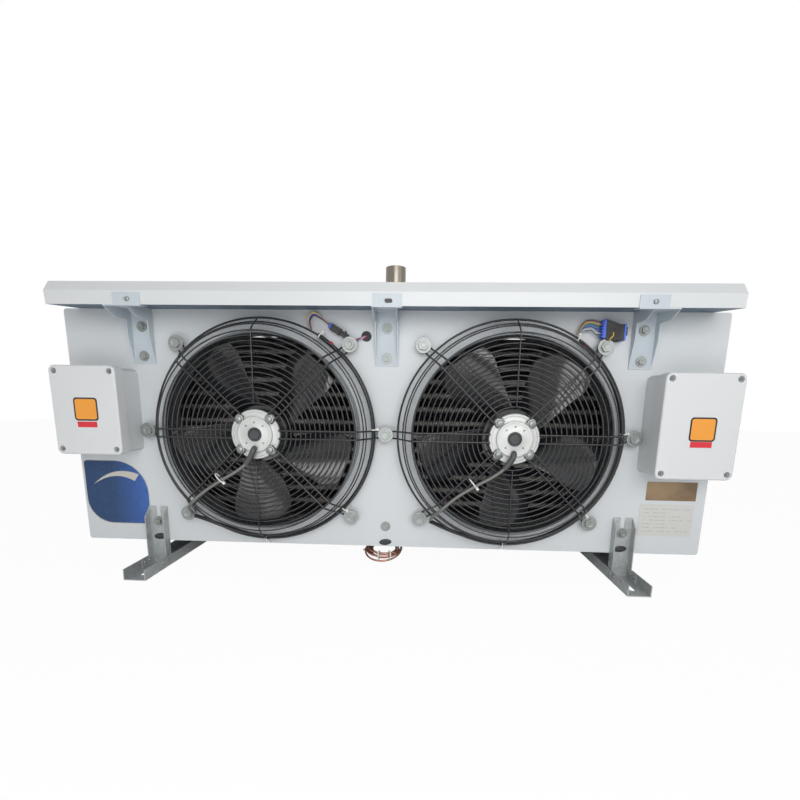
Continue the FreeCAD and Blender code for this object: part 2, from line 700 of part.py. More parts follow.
def hanging_rail(x):
    """Open channel along the depth with a suspension slot near each end."""
    half = RAIL_WIDTH / 2
    end = RAIL_LENGTH / 2
    solid = block(x - half, x + half, -end, end, 0, RAIL_HEIGHT).cut(
        block(x - half + RAIL_WALL, x + half - RAIL_WALL, -end, end, RAIL_WALL, RAIL_HEIGHT))
    for side in (-1, 1):
        y = side * (end - RAIL_SLOT_INSET)
        slot = stadium(0, 0, RAIL_SLOT_LENGTH, RAIL_SLOT_WIDTH, 0, RAIL_WALL)
        slot.rotate(Vector(0, 0, 0), ACROSS, 90)
        slot.rotate(Vector(0, 0, 0), UP, 90)
        slot.translate(Vector(x, y, 0))
        solid = solid.cut(slot)
    return solid


def panel_bolt(x, z, base):
    """Washer and hexagon head on a face BASE mm ahead of the panel."""
    front = base + BOLT_WASHER_THICK
    return [disc(x, z, front, BOLT_WASHER_THICK, BOLT_WASHER_RADIUS, DISC_SIDES),
            hexagon(x, z, front, BOLT_HEAD, BOLT_FLATS)]


def bracket_bolts():
    """Two bolts in the web of each tray bracket."""
    solids = []
    for x in (-RAIL_X, 0, RAIL_X):
        for up in BRACKET_BOLTS_UP:
            solids += panel_bolt(x, BRACKET_FOOT_Z + up, BRACKET_WALL)
    return Part.makeCompound(solids)


def hanger_bolts():
    """Hanger bolts in the open slots and the middle one on the bare panel."""
    solids = panel_bolt(0, HANGER_BOLT_Z, 0)
    for x in (-RAIL_X, RAIL_X):
        solids += panel_bolt(x, HANGER_BOLT_Z, RAIL_WALL)
    return Part.makeCompound(solids)


def rubber_plugs():
    """Oval rubber plugs in the hangers and in the middle of the panel."""
    solids = []
    for x, base in ((-RAIL_X, RAIL_WALL), (0, 0), (RAIL_X, RAIL_WALL)):
        face = PANEL_Y - base
        plug = block(x - PLUG_LENGTH / 2, x + PLUG_LENGTH / 2, face - PLUG_PROUD, face,
                     PLUG_Z - PLUG_WIDTH / 2, PLUG_Z + PLUG_WIDTH / 2)
        corners = [e for e in plug.Edges if e.BoundBox.YLength > PLUG_PROUD / 2]
        solids.append(plug.makeChamfer(PLUG_CORNER, corners))
    return Part.makeCompound(solids)


def coil_fins():
    """Fin pack: fins on both sides of the core that the tubes run in."""
    front = COIL_Y - FIN_DEPTH / 2
    rear = COIL_Y + FIN_DEPTH / 2
    count = int(round(2 * FIN_HALF / FIN_PITCH))
    pitch = (2 * FIN_HALF - FIN_THICK) / count
    near = []
    far = []
    for i in range(count + 1):
        x0 = -FIN_HALF + i * pitch
        x1 = x0 + FIN_THICK
        near += [(x0, COIL_Y - FIN_CORE / 2), (x0, front), (x1, front), (x1, COIL_Y - FIN_CORE / 2)]
        far += [(x0, COIL_Y + FIN_CORE / 2), (x0, rear), (x1, rear), (x1, COIL_Y + FIN_CORE / 2)]
    near = near[1:-1]
    far = far[1:-1]
    outline = [Vector(px, py, FIN_BOTTOM) for px, py in near + far[::-1]]
    return extruded(outline, UP * FIN_HEIGHT)


def coil_end_plate(side):
    """Flanged plate that holds one end of the coil."""
    rear = REAR_Y - SHEET
    front = COIL_Y - FIN_DEPTH / 2
    x0, x1 = sorted((side * FIN_HALF, side * (FIN_HALF + END_PLATE)))
    plate = block(x0, x1, front, rear, CASE_LIFT + SHEET, CASE_TOP - SHEET)
    f0, f1 = sorted((side * FIN_HALF, side * (FIN_HALF + END_FLANGE)))
    flange = block(f0, f1, front, front + END_PLATE, CASE_LIFT + SHEET, CASE_TOP - SHEET)
    return plate.fuse(flange).removeSplitter()


def bend_ring(centre, heading):
    """Corners of a return bend's tube where it heads within the XZ plane."""
    across = Vector(0, 1, 0)
    up = heading.cross(across)
    angles = [math.tau * (i + 0.5) / BAR_SIDES for i in range(BAR_SIDES)]
    return [centre + (across * math.cos(a) + up * math.sin(a)) * TUBE_RADIUS for a in angles]


def return_bends():
    """Tube bends that join the rows at the left end of the coil."""
    start = -FIN_HALF - END_PLATE
    turn_x = start - BEND_STUB
    radius = TUBE_PITCH / 2
    solids = []
    for row in range(BEND_COUNT):
        z = FIN_BOTTOM + TUBE_PITCH * (2 * row + 1.5)
        rings = [bend_ring(Vector(start, COIL_Y, z - radius), ACROSS)]
        for i in range(BEND_STEPS + 1):
            angle = math.pi * i / BEND_STEPS
            centre = Vector(turn_x - radius * math.sin(angle), COIL_Y, z - radius * math.cos(angle))
            heading = Vector(math.cos(angle), 0, -math.sin(angle))
            rings.append(bend_ring(centre, heading))
        rings.append(bend_ring(Vector(start, COIL_Y, z + radius), ACROSS * -1))
        solids.append(faceted(rings))
    return Part.makeCompound(solids)


def suction_header():
    """Upright header at the right end with its row of stubs and a rear tail."""
    x = FIN_HALF + END_PLATE
    y = COIL_Y
    bottom = FIN_BOTTOM + TUBE_PITCH
    height = TUBE_PITCH * (2 * BEND_COUNT - 1)
    solid = bar(Vector(x + HEADER_OFFSET, y, bottom), UP * height, HEADER_RADIUS, DISC_SIDES)
    for i in range(BEND_COUNT):
        z = bottom + TUBE_PITCH * (2 * i + 0.5)
        solid = solid.fuse(bar(Vector(x, y, z), ACROSS * HEADER_OFFSET, TUBE_RADIUS, BAR_SIDES))
    return solid


def suction_tail():
    """Pipe end that leaves the right end cover at the rear."""
    x = FIN_HALF + END_PLATE + HEADER_OFFSET
    z = FIN_BOTTOM + TUBE_PITCH * 2
    return Part.makeCylinder(TAIL_RADIUS, SUCTION_TAIL, Vector(x, REAR_Y, z), FORWARD * -1)


def capillary_coil():
    """Loose turns of thin copper pipe, tilted down to the front under the casing."""
    z = CASE_LIFT - COPPER_COIL_DROP
    low = z - COPPER_TURN_HEIGHT * len(COPPER_COIL_SPREAD) / 2
    turns = []
    for i, spread in enumerate(COPPER_COIL_SPREAD):
        centre = Vector(0, COPPER_COIL_Y, low + i * COPPER_TURN_HEIGHT)
        outer = bar(centre, UP * COPPER_TURN_HEIGHT, COPPER_COIL_RADIUS - spread, 2 * DISC_SIDES)
        inner = bar(centre, UP * COPPER_TURN_HEIGHT, COPPER_COIL_RADIUS - spread - COPPER_COIL_WIDTH,
                    2 * DISC_SIDES)
        turns.append(outer.cut(inner))
    hank = Part.makeCompound(turns)
    hank.rotate(Vector(0, COPPER_COIL_Y, z), ACROSS, COPPER_COIL_TILT)
    return hank


def coil_clips():
    """Two folded straps that hold the copper coil to the casing."""
    solids = []
    tilt = math.radians(COPPER_COIL_TILT)
    half = COPPER_TURN_HEIGHT * len(COPPER_COIL_SPREAD) / 2
    floor = CASE_LIFT - COPPER_COIL_DROP - half / math.cos(tilt) - CLIP_WIDTH / 2 * math.tan(tilt) - CLIP_GAP
    inside = COPPER_COIL_RADIUS - COPPER_COIL_WIDTH - max(COPPER_COIL_SPREAD) - CLIP_GAP
    outside = COPPER_COIL_RADIUS + CLIP_GAP
    for side in (-1, 1):
        line = [(inside - CLIP_FOOT, CASE_LIFT), (inside, CASE_LIFT), (inside, floor), (outside, floor),
                (outside, CASE_LIFT), (outside + CLIP_FOOT, CASE_LIFT)]
        points = [Vector(side * px, COPPER_COIL_Y - CLIP_WIDTH / 2, pz) for px, pz in strip(line, -SHEET)]
        solids.append(extruded(points, Vector(0, CLIP_WIDTH, 0)))
    return Part.makeCompound(solids)


def electrical_box(side):
    """Place of an electrical box: centre X, bottom Z, width, height."""
    beyond, width, height = BOX_SPECS[side]
    lug = FAN_SIDES[side] + math.copysign(LUG_RADIUS, beyond)
    return lug + beyond, BRACKET_FOOT_Z - BOX_BELOW_BRACKET - height, width, height


def box_corners(box, inset):
    """The four (x, z) screw places of an electrical box."""
    cx, z0, width, height = box
    reach = width / 2 - inset
    return [(cx + sx * reach, z) for sx in (-1, 1) for z in (z0 + inset, z0 + height - inset)]


def box_base(box):
    """Open moulded base of an electrical box, screwed to the panel."""
    cx, z0, width, height = box
    y0 = PANEL_Y - BOX_DEPTH + BOX_LID
    outer = rounded_block(cx - width / 2 + BOX_LID_LIP, cx + width / 2 - BOX_LID_LIP, y0, PANEL_Y,
                          z0 + BOX_LID_LIP, z0 + height - BOX_LID_LIP, BOX_CORNER)
    wall = BOX_WALL + BOX_LID_LIP
    inner = block(cx - width / 2 + wall, cx + width / 2 - wall, y0, PANEL_Y - BOX_WALL,
                  z0 + wall, z0 + height - wall)
    return outer.cut(inner)


def box_lid(box):
    """Deep lid with a recess for a screw in each corner."""
    cx, z0, width, height = box
    y0 = PANEL_Y - BOX_DEPTH
    y1 = y0 + BOX_LID
    solid = rounded_block(cx - width / 2, cx + width / 2, y0, y1, z0, z0 + height, BOX_CORNER)
    rim = [e for e in solid.Edges if e.BoundBox.YMax < y0 + BOX_EDGE]
    solid = solid.makeChamfer(BOX_EDGE, rim)
    wall = BOX_SCREW_INSET + BOX_SCREW_POCKET + BOX_WALL
    inner = block(cx - width / 2 + BOX_WALL, cx + width / 2 - BOX_WALL, y0 + BOX_WALL, y1,
                  z0 + wall, z0 + height - wall)
    solid = solid.cut(inner)
    for px, pz in box_corners(box, BOX_SCREW_INSET):
        solid = solid.cut(disc(px, pz, BOX_DEPTH, BOX_SCREW_RECESS, BOX_SCREW_POCKET, DISC_SIDES))
    return solid


def box_screws():
    """Lid screws of both electrical boxes, in their recesses."""
    front = BOX_DEPTH - BOX_SCREW_RECESS + BOX_SCREW_HEAD
    return Part.makeCompound([disc(px, pz, front, BOX_SCREW_HEAD, BOX_SCREW_RADIUS, BAR_SIDES)
                              for side in BOX_SPECS
                              for px, pz in box_corners(electrical_box(side), BOX_SCREW_INSET)])


def flat_plate(spec):
    """Thin bare plate on the panel under the right box."""
    beyond, below, width, height = spec
    cx = RAIL_X + beyond
    cz = electrical_box("right")[1] - below
    return block(cx - width / 2, cx + width / 2, PANEL_Y - PLATE_THICK, PANEL_Y,
                 cz - height / 2, cz + height / 2)


def fan_point(x, radius, angle, front):
    """Point at a radius and angle about a fan axis, FRONT mm ahead of the panel."""
    px, pz = around_fan(x, radius, angle)
    return Vector(px, PANEL_Y - front, pz)


def fan_sleeve(x, last):
    """Black sleeved lead that the guard's base ring carries."""
    first = SLEEVE_START[-1][1] + SLEEVE_STEP / 2
    count = int(round((last - first) / SLEEVE_STEP))
    points = [fan_point(x, *place) for place in SLEEVE_START]
    for i in range(count + 1):
        angle = first + (last - first) * i / count
        points.append(fan_point(x, SLEEVE_RING_RADIUS, angle, SLEEVE_FRONT))
    return tube_along(points, SLEEVE_RADIUS)


def elbow_place():
    """Centre line of the elbow: distance ahead of the panel and height."""
    front = GUARD_FACE - WIRE + PLATE_PROUD + ELBOW_RADIUS
    return front, FAN_Z - PLATE_RADIUS + ELBOW_RADIUS


def motor_lead(x):
    """Grey lead from the motor elbow along the lower left arm."""
    front, z = elbow_place()
    points = [Vector(x, PANEL_Y - front, z - ELBOW_LENGTH - LEAD_SEAT)]
    points += [fan_point(x, *place) for place in LEAD_ROUTE]
    return tube_along(points, LEAD_RADIUS)


def motor_elbow(x):
    """Strain relief of the motor lead on the motor's front plate."""
    front, z = elbow_place()
    post = disc(x, z, front, ELBOW_RADIUS, ELBOW_RADIUS, BAR_SIDES)
    nose = bar(Vector(x, PANEL_Y - front, z), UP * -ELBOW_LENGTH, ELBOW_RADIUS - ELBOW_STEP, BAR_SIDES)
    return post.fuse(nose)


def grommet():
    """Rubber grommet that lets the left fan's wires through the panel."""
    right, up = GROMMET
    x = FAN_SIDES["left"] + right
    return disc(x, FAN_Z + up, GROMMET_PROUD, GROMMET_PROUD, GROMMET_RADIUS, DISC_SIDES)


def connector(side, spec):
    """Plug-in connector body of one fan's wires, lying against the panel."""
    right, up, width, height, depth, angle = spec
    cx = FAN_SIDES[side] + right
    cz = FAN_Z + up
    front = PANEL_Y - depth
    end = cx + width / 2
    body = block(cx - width / 2, end, front, PANEL_Y, cz - height / 2, cz + height / 2)
    neck = block(end, end + NECK_LENGTH, front + NECK_INSET, PANEL_Y - NECK_INSET,
                 cz - height / 2 + NECK_INSET, cz + height / 2 - NECK_INSET)
    solid = body.fuse(neck)
    solid.rotate(Vector(cx, 0, cz), FORWARD, angle)
    return solid


def build():
    """Make every piece and return the shapes by name."""
    left, right = FAN_SIDES["left"], FAN_SIDES["right"]
    parts = {
        "front_panel": front_panel(),
        "side_cover_left": side_cover(-1),
        "side_cover_right": side_cover(1),
        "bottom_plate": bottom_plate(),
        "rear_cross_rail": rear_cross_rail(),
        "fan_divider": fan_divider(),
        "drip_tray": drip_tray(),
        "tray_inner_panel": tray_inner_panel(),
        "drain_stub": drain_stub(),
        "tray_bracket_left": tray_bracket(-RAIL_X, -RAIL_X + TAB_SHIFT),
        "tray_bracket_centre": tray_bracket(0, TAB_SHIFT / 4),
        "tray_bracket_right": tray_bracket(RAIL_X, RAIL_X - TAB_SHIFT),
        "rear_strap_left": rear_strap(-RAIL_X),
        "rear_strap_right": rear_strap(RAIL_X),
        "bracket_bolts": bracket_bolts(),
        "hanger_bolts": hanger_bolts(),
        "rubber_plugs": rubber_plugs(),
        "coil_fins": coil_fins(),
        "coil_end_plate_left": coil_end_plate(-1),
        "coil_end_plate_right": coil_end_plate(1),
        "return_bends": return_bends(),
        "suction_header": suction_header(),
        "suction_tail": suction_tail(),
        "capillary_coil": capillary_coil(),
        "coil_clips": coil_clips(),
        "guard_left": guard(left, 0.0),
        "guard_right": guard(right, WIRE),
        "guard_spacers": guard_spacers(),
        "guard_bolts": guard_bolts(),
        "motor_bolts": motor_bolts(),
        "box_screws": box_screws(),
        "rating_plate": flat_plate(RATING_PLATE),
        "brass_plate": flat_plate(BRASS_PLATE),
        "wire_grommet": grommet(),
        "latch_connector": connector("left", LATCH_CONNECTOR),
        "block_connector": connector("right", BLOCK_CONNECTOR),
    }
    for name, x in FAN_SIDES.items():
        parts["fan_ring_" + name] = fan_ring(x)
        parts["motor_stator_" + name] = stator(x)
        parts["motor_rotor_" + name] = rotor(x)
        parts["impeller_" + name] = impeller(x, BLADE_START[name])
        parts["motor_lead_" + name] = motor_lead(x)
        parts["motor_elbow_" + name] = motor_elbow(x)
        parts["fan_sleeve_" + name] = fan_sleeve(x, SLEEVE_END[name])
        parts["box_base_" + name] = box_base(electrical_box(name))
        parts["box_lid_" + name] = box_lid(electrical_box(name))
    for name, x in (("left", -RAIL_X), ("right", RAIL_X)):
        parts["hanging_rail_" + name] = hanging_rail(x)
        parts["front_hanger_" + name] = hanger(x, True)
        parts["rear_hanger_" + name] = hanger(x, False)
    return parts


os.makedirs("parts", exist_ok=True)
for node, shape in build().items():
    assert shape.isValid(), node
    shape.exportStep("parts/" + node + ".step")
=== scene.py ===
"""Looks of a walk-in unit cooler with two fans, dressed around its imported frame.

Sizes are in millimetres, and MM turns them into the frame's metres. X runs to
the right, Y to the rear and Z up, from a point on the floor under the rails.
"""

import json
import logging
import math
from collections.abc import Callable, Iterator
from contextlib import contextmanager
from dataclasses import dataclass, field
from enum import Enum

import bmesh
import bpy
from mathutils import Matrix, Vector


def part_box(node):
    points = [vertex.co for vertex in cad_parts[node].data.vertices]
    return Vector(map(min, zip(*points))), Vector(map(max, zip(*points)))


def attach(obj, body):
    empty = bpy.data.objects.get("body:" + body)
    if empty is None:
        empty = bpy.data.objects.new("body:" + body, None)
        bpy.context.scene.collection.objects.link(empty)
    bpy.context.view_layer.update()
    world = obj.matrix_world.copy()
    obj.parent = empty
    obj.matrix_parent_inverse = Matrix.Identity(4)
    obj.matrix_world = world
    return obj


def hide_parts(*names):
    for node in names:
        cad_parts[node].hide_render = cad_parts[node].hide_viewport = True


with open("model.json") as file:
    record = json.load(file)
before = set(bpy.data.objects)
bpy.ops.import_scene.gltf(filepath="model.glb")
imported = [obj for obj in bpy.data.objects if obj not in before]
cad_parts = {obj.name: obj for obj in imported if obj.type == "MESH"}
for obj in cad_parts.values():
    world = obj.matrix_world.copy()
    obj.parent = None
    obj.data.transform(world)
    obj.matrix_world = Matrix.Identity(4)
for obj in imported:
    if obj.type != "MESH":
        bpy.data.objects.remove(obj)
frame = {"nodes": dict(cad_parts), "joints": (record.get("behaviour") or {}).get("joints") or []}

log = logging.getLogger("unit_cooler")
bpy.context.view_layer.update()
MM = 0.001
PANEL_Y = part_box("front_panel")[0].y / MM
FAN_Z = frame["joints"][0]["pos_m"][2] / MM
MERGE_DISTANCE = 1e-6
FLAT_ANGLE = math.radians(0.5)
ROUND_SHADING = 60.0
WHITE = (1.0, 1.0, 1.0, 1.0)

Object = bpy.types.Object
Socket = bpy.types.NodeSocket
Point = tuple[float, float, float]
Box = tuple[float, float, float, float]
Block = tuple[Point, Point, float]
Outline = tuple[tuple[float, float], ...]


class Slot(Enum):
    """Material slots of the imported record, for the pieces that are made here."""

    CASING = "casing_paint"
    TRAY = "tray_paint"
    LINER = "liner_paint"
    GALVANISED = "galvanised"
    ZINC = "zinc"
    STAINLESS = "stainless"
    FINS = "fin_aluminium"
    MOTOR = "motor_aluminium"
    COPPER = "copper"
    BRASS = "brass_plate"
    LABEL = "label_plate"
    GUARD = "guard_black"
    BLADE = "blade_black"
    BOX = "box_plastic"
    RUBBER = "black_rubber"
    SLEEVE = "sleeve_black"
    LEAD = "lead_grey"
    CONNECTOR = "connector_black"


class Side(Enum):
    """The two fans, by the X of their axes in millimetres."""

    LEFT = frame["joints"][0]["pos_m"][0] / MM
    RIGHT = frame["joints"][1]["pos_m"][0] / MM

    @property
    def word(self) -> str:
        """Name of the side in piece names."""
        return self.name.lower()

    def spot(self, radius: float, angle: float, front: float, sideways: float = 0.0) -> Vector:
        """Point about the fan's axis.

        Args:
            radius: distance from the axis in millimetres, in the direction of the angle.
            angle: that direction in degrees.
            front: distance ahead of the panel.
            sideways: distance from the line in that direction.

        Returns:
            The point in metres.
        """
        turn = math.radians(angle)
        x = self.value + radius * math.cos(turn) - sideways * math.sin(turn)
        z = FAN_Z + radius * math.sin(turn) + sideways * math.cos(turn)
        return ahead(x, front, z)


# Finishes


class Tree:
    """A tree of shader nodes, with the helpers that fill and wire it."""

    def __init__(self, tree: bpy.types.NodeTree) -> None:
        """Take hold of a node tree."""
        self.tree = tree

    def node(self, kind: str, links: dict[str | int, Socket] | None = None,
             **values: float | str | tuple[float, ...]) -> bpy.types.Node:
        """Add a node.

        Args:
            kind: node type.
            links: input name or number to the socket that feeds it.
            values: node properties, or inputs where no property has the name.

        Returns:
            The new node.
        """
        made = self.tree.nodes.new(kind)
        for key, value in values.items():
            if hasattr(made, key):
                setattr(made, key, value)
            else:
                made.inputs[key].default_value = value
        for key, socket in (links or {}).items():
            self.tree.links.new(socket, made.inputs[key])
        return made

    def maths(self, operation: str, first: Socket, second: Socket | float) -> Socket:
        """Join two values by a step of arithmetic.

        Args:
            operation: name of the step.
            first: first value.
            second: second value, a socket or a number.

        Returns:
            The result's socket.
        """
        made = self.node("ShaderNodeMath", {0: first}, operation=operation)
        if isinstance(second, float):
            made.inputs[1].default_value = second
        else:
            self.tree.links.new(second, made.inputs[1])
        return made.outputs[0]


class Sheet(Tree):
    """Node tree of one finish, which reads object coordinates."""

    def __init__(self, name: str) -> None:
        """Start a material with its shader and object coordinates.

        Args:
            name: name of the material.
        """
        self.material = bpy.data.materials.new(name)
        self.material.use_nodes = True
        super().__init__(self.material.node_tree)
        self.shader = self.tree.nodes["Principled BSDF"]
        self.place = self.node("ShaderNodeTexCoord").outputs["Object"]

    def stretched(self, scale: Point) -> Socket:
        """Object coordinates scaled by axis, for brushed or drawn surfaces."""
        return self.node("ShaderNodeMapping", {"Vector": self.place}, Scale=scale).outputs[0]

    def noise(self, scale: float, detail: float = 3.0, place: Socket | None = None) -> Socket:
        """Cloudy pattern from 0 to 1 with the given number of features a metre."""
        made = self.node("ShaderNodeTexNoise", {"Vector": place or self.place}, Scale=scale, Detail=detail)
        return made.outputs["Fac"]

    def cells(self, scale: float) -> Socket:
        """Random colour of each crystal-like cell."""
        return self.node("ShaderNodeTexVoronoi", {"Vector": self.place}, Scale=scale).outputs["Color"]

    def ramp(self, source: Socket, stops: dict[float, Point]) -> Socket:
        """Colour ramp.

        Args:
            source: value that drives the ramp.
            stops: colours by position.

        Returns:
            The colour socket.
        """
        made = self.node("ShaderNodeValToRGB", {"Fac": source})
        band = made.color_ramp
        while len(band.elements) < len(stops):
            band.elements.new(0.5)
        for element, (where, colour) in zip(band.elements, sorted(stops.items())):
            element.position = where
            element.color = (*colour, 1.0)
        return made.outputs["Color"]

    def level(self, source: Socket, low: float, high: float, start: float, end: float) -> Socket:
        """Value that runs evenly from one level to another as its source grows.

        Args:
            source: value that drives it.
            low: level up to the start.
            high: level from the end on.
            start: source value where the run starts.
            end: source value where it ends.

        Returns:
            The value's socket.
        """
        made = self.node("ShaderNodeMapRange", {"Value": source})
        for key, value in (("From Min", start), ("From Max", end), ("To Min", low), ("To Max", high)):
            made.inputs[key].default_value = value
        return made.outputs["Result"]

    def bump(self, height: Socket, strength: float, depth: float) -> None:
        """Feed the shader a relief.

        Args:
            height: pattern of the relief.
            strength: share of the relief, from 0 to 1.
            depth: height of the relief in metres.
        """
        made = self.node("ShaderNodeBump", {"Height": height}, Strength=strength, Distance=depth)
        self.tree.links.new(made.outputs["Normal"], self.shader.inputs["Normal"])

    def feed(self, key: str, socket: Socket) -> None:
        """Link a socket to an input of the shader."""
        self.tree.links.new(socket, self.shader.inputs[key])

    def set(self, **values: float) -> None:
        """Set constants on the shader's own sockets, with _ for a space in their names."""
        for key, value in values.items():
            self.shader.inputs[key.replace("_", " ")].default_value = value


DARK_PART, LIGHT_PART = 0.3, 0.7


def shade(colour: Point, factor: float) -> Point:
    """A colour made lighter or darker by a factor, capped at white."""
    return tuple(min(1.0, c * factor) for c in colour)


@dataclass(frozen=True)
class Finish:
    """A surface: its colour, how far that wanders, its gloss and its relief."""

    name: str
    colour: Point
    rough: float = 0.4
    rough_spread: float = 0.06
    rough_scale: float = 7.0
    wander: float = 0.05
    patch_scale: float = 6.0
    patch_detail: float = 4.0
    grain_scale: float = 700.0
    grain: float = 0.1
    grain_depth: float = 0.0002
    metallic: float = 0.0
    coat: float = 0.0
    specular: float = 0.5
    stretch: Point = (1.0, 1.0, 1.0)

    def patches(self, sheet: Sheet) -> Socket:
        """Colour of the surface with its slow drift."""
        drift = sheet.noise(self.patch_scale, self.patch_detail)
        return sheet.ramp(drift, {DARK_PART: shade(self.colour, 1 - self.wander),
                                  LIGHT_PART: shade(self.colour, 1 + self.wander)})

    def make(self) -> bpy.types.Material:
        """Build the material.

        Returns:
            The new material.
        """
        sheet = Sheet(self.name)
        fine = sheet.noise(self.grain_scale, place=sheet.stretched(self.stretch))
        sheet.feed("Base Color", self.patches(sheet))
        smear = sheet.noise(self.patch_scale * self.rough_scale)
        low, high = self.rough - self.rough_spread, self.rough + self.rough_spread
        sheet.feed("Roughness", sheet.level(smear, low, high, DARK_PART, LIGHT_PART))
        sheet.bump(fine, self.grain, self.grain_depth)
        sheet.set(Metallic=self.metallic, Coat_Weight=self.coat, Specular_IOR_Level=self.specular)
        return sheet.material


@dataclass(frozen=True)
class Galvanised(Finish):
    """Zinc-dipped steel with its crystal spangle."""

    spangle_scale: float = 130.0

    def patches(self, sheet: Sheet) -> Socket:
        """Spangle of slightly different greys."""
        grey = sheet.node("ShaderNodeRGBToBW", {"Color": sheet.cells(self.spangle_scale)}).outputs[0]
        return sheet.ramp(grey, {0.2: shade(self.colour, 1 - self.wander), 0.5: self.colour,
                                 0.8: shade(self.colour, 1 + self.wander)})


@dataclass(frozen=True)
class Tarnished(Finish):
    """Bare metal that darkens in patches towards a second colour."""

    dull: Point = (0.2, 0.1, 0.06)
    patch_detail: float = 6.0
    shine: float = 1.15

    def patches(self, sheet: Sheet) -> Socket:
        """Bright metal with darker handling marks."""
        drift = sheet.noise(self.patch_scale, self.patch_detail)
        return sheet.ramp(drift, {0.32: self.dull, 0.5: self.colour, 0.75: shade(self.colour, self.shine)})


@dataclass(frozen=True)
class Fade(Finish):
    """Printed colour that turns into another one along X, between two places in millimetres."""

    other: Point = (0.5, 0.5, 0.5)
    start: float = 0.0
    end: float = 1.0

    def patches(self, sheet: Sheet) -> Socket:
        """Colour that holds for the first part of the way and then turns.

        Args:
            sheet: the material's node tree.

        Returns:
            The colour socket.
        """
        along = sheet.node("ShaderNodeSeparateXYZ", {"Vector": sheet.place}).outputs["X"]
        share = sheet.level(along, 0.0, 1.0, self.start * MM, self.end * MM)
        return sheet.ramp(share, {0.0: self.colour, 0.45: self.colour, 1.0: self.other})


CASING_PAINT = Finish("casing_paint", (0.62, 0.65, 0.67), rough=0.36, rough_spread=0.01, wander=0.006,
                      grain=0.02)
# A darker, bluer copy of the casing paint for the tray brackets: painted shade of their flanges.
BRACKET_PAINTED_SHADE = Finish("bracket_painted_shade", (0.52, 0.58, 0.62), rough=0.34, rough_spread=0.01, wander=0.01,
                       grain=0.02)
TRAY_PAINT = Finish("tray_paint", (0.66, 0.68, 0.69), rough=0.32, rough_spread=0.01, wander=0.006,
                    grain=0.02)
# Dark grey with a metal sheen, far darker than the casing, so the bore of the inlet ring looks dark.
RING_DARK_GREY = Finish("ring_dark_grey", (0.15, 0.165, 0.175), rough=0.26, rough_spread=0.02, wander=0.03,
                    metallic=0.4, grain=0.02)
# Dark slate blue on the plate under the tray: painted shade of the tray's overhang.
LINER_PAINTED_SHADE = Finish("liner_paint", (0.058, 0.115, 0.185), rough=0.42, wander=0.04, grain=0.04)
GALVANISED = Galvanised("galvanised", (0.44, 0.46, 0.46), rough=0.42, rough_spread=0.05, wander=0.08,
                        spangle_scale=170.0, metallic=0.6, grain=0.05)
ZINC = Finish("zinc", (0.30, 0.32, 0.31), rough=0.46, rough_spread=0.04, wander=0.1, patch_scale=60.0,
              metallic=0.85, grain=0.03)
STAINLESS = Finish("stainless", (0.20, 0.18, 0.15), rough=0.26, wander=0.05, metallic=1.0, grain=0.1,
                   stretch=(1.0, 1.0, 0.02))
CAST = Finish("cast_aluminium", (0.50, 0.51, 0.50), rough=0.45, wander=0.04, patch_scale=30.0,
              metallic=0.4, grain_scale=1400.0, grain=0.2)
CAP_GREY = Finish("cap_grey", (0.028, 0.03, 0.033), rough=0.35, grain=0.05)
FINS = Finish("fin_aluminium", (0.20, 0.205, 0.21), rough=0.36, wander=0.08, patch_scale=14.0, metallic=0.3,
              grain=0.05)
FIN_SHADE = Finish("fin_shade", (0.012, 0.013, 0.015), rough=0.7, wander=0.2, grain=0.05)
# Pale beige, far lighter than the copper of the tubes: painted light, so the tube rows read as lit bands
# between the fins.
FIN_TUBE_PAINTED_LIGHT = Finish("fin_tube_painted_light", (0.74, 0.71, 0.66), rough=0.45, wander=0.1, patch_scale=40.0, grain=0.05)
TUBE_COPPER = Tarnished("tube_copper", (0.60, 0.33, 0.22), rough=0.34, patch_scale=26.0, metallic=1.0,
                        dull=(0.30, 0.13, 0.08))
COIL_COPPER = Tarnished("coil_copper", (0.52, 0.27, 0.20), rough=0.36, patch_scale=40.0, metallic=0.85,
                        dull=(0.26, 0.11, 0.075))
BRASS = Tarnished("brass_plate", (0.34, 0.24, 0.15), rough=0.36, rough_spread=0.03, patch_scale=14.0,
                  metallic=0.8, grain=0.1, stretch=(0.03, 1.0, 1.0), dull=(0.22, 0.155, 0.10))
CREAM = Finish("label_cream", (0.60, 0.595, 0.575), rough=0.36, wander=0.01, grain=0.02)
INK = Finish("label_ink", (0.33, 0.33, 0.32), rough=0.4, wander=0.05, grain=0.02)
WIRE_BLACK = Finish("guard_black", (0.012, 0.012, 0.014), rough=0.28, wander=0.1, grain=0.03, coat=0.2)
ROTOR_BLACK = Finish("rotor_black", (0.014, 0.015, 0.017), rough=0.34, wander=0.1, grain=0.05)
BLADE_BLACK = Finish("blade_black", (0.016, 0.017, 0.019), rough=0.16, rough_spread=0.02, wander=0.1,
                     grain=0.01, coat=0.2, specular=0.6)
BOX_GREY = Finish("box_plastic", (0.66, 0.675, 0.685), rough=0.42, rough_spread=0.02, wander=0.008,
                  grain_scale=1600.0, grain=0.04)
SCREW_GREY = Finish("screw_grey", (0.20, 0.22, 0.235), rough=0.35, wander=0.1, grain=0.05)
RUBBER = Finish("black_rubber", (0.032, 0.034, 0.038), rough=0.6, wander=0.1, grain=0.1)
SLEEVE = Finish("sleeve_black", (0.018, 0.018, 0.02), rough=0.4, wander=0.2, grain=0.06)
BOOT = Finish("boot_grey", (0.055, 0.058, 0.055), rough=0.45, wander=0.1, grain=0.06)
LEAD_GREY = Finish("lead_grey", (0.15, 0.15, 0.14), rough=0.36, wander=0.06, grain=0.03)
TIE_WHITE = Finish("tie_white", (0.74, 0.74, 0.71), rough=0.4, wander=0.02, grain=0.02)
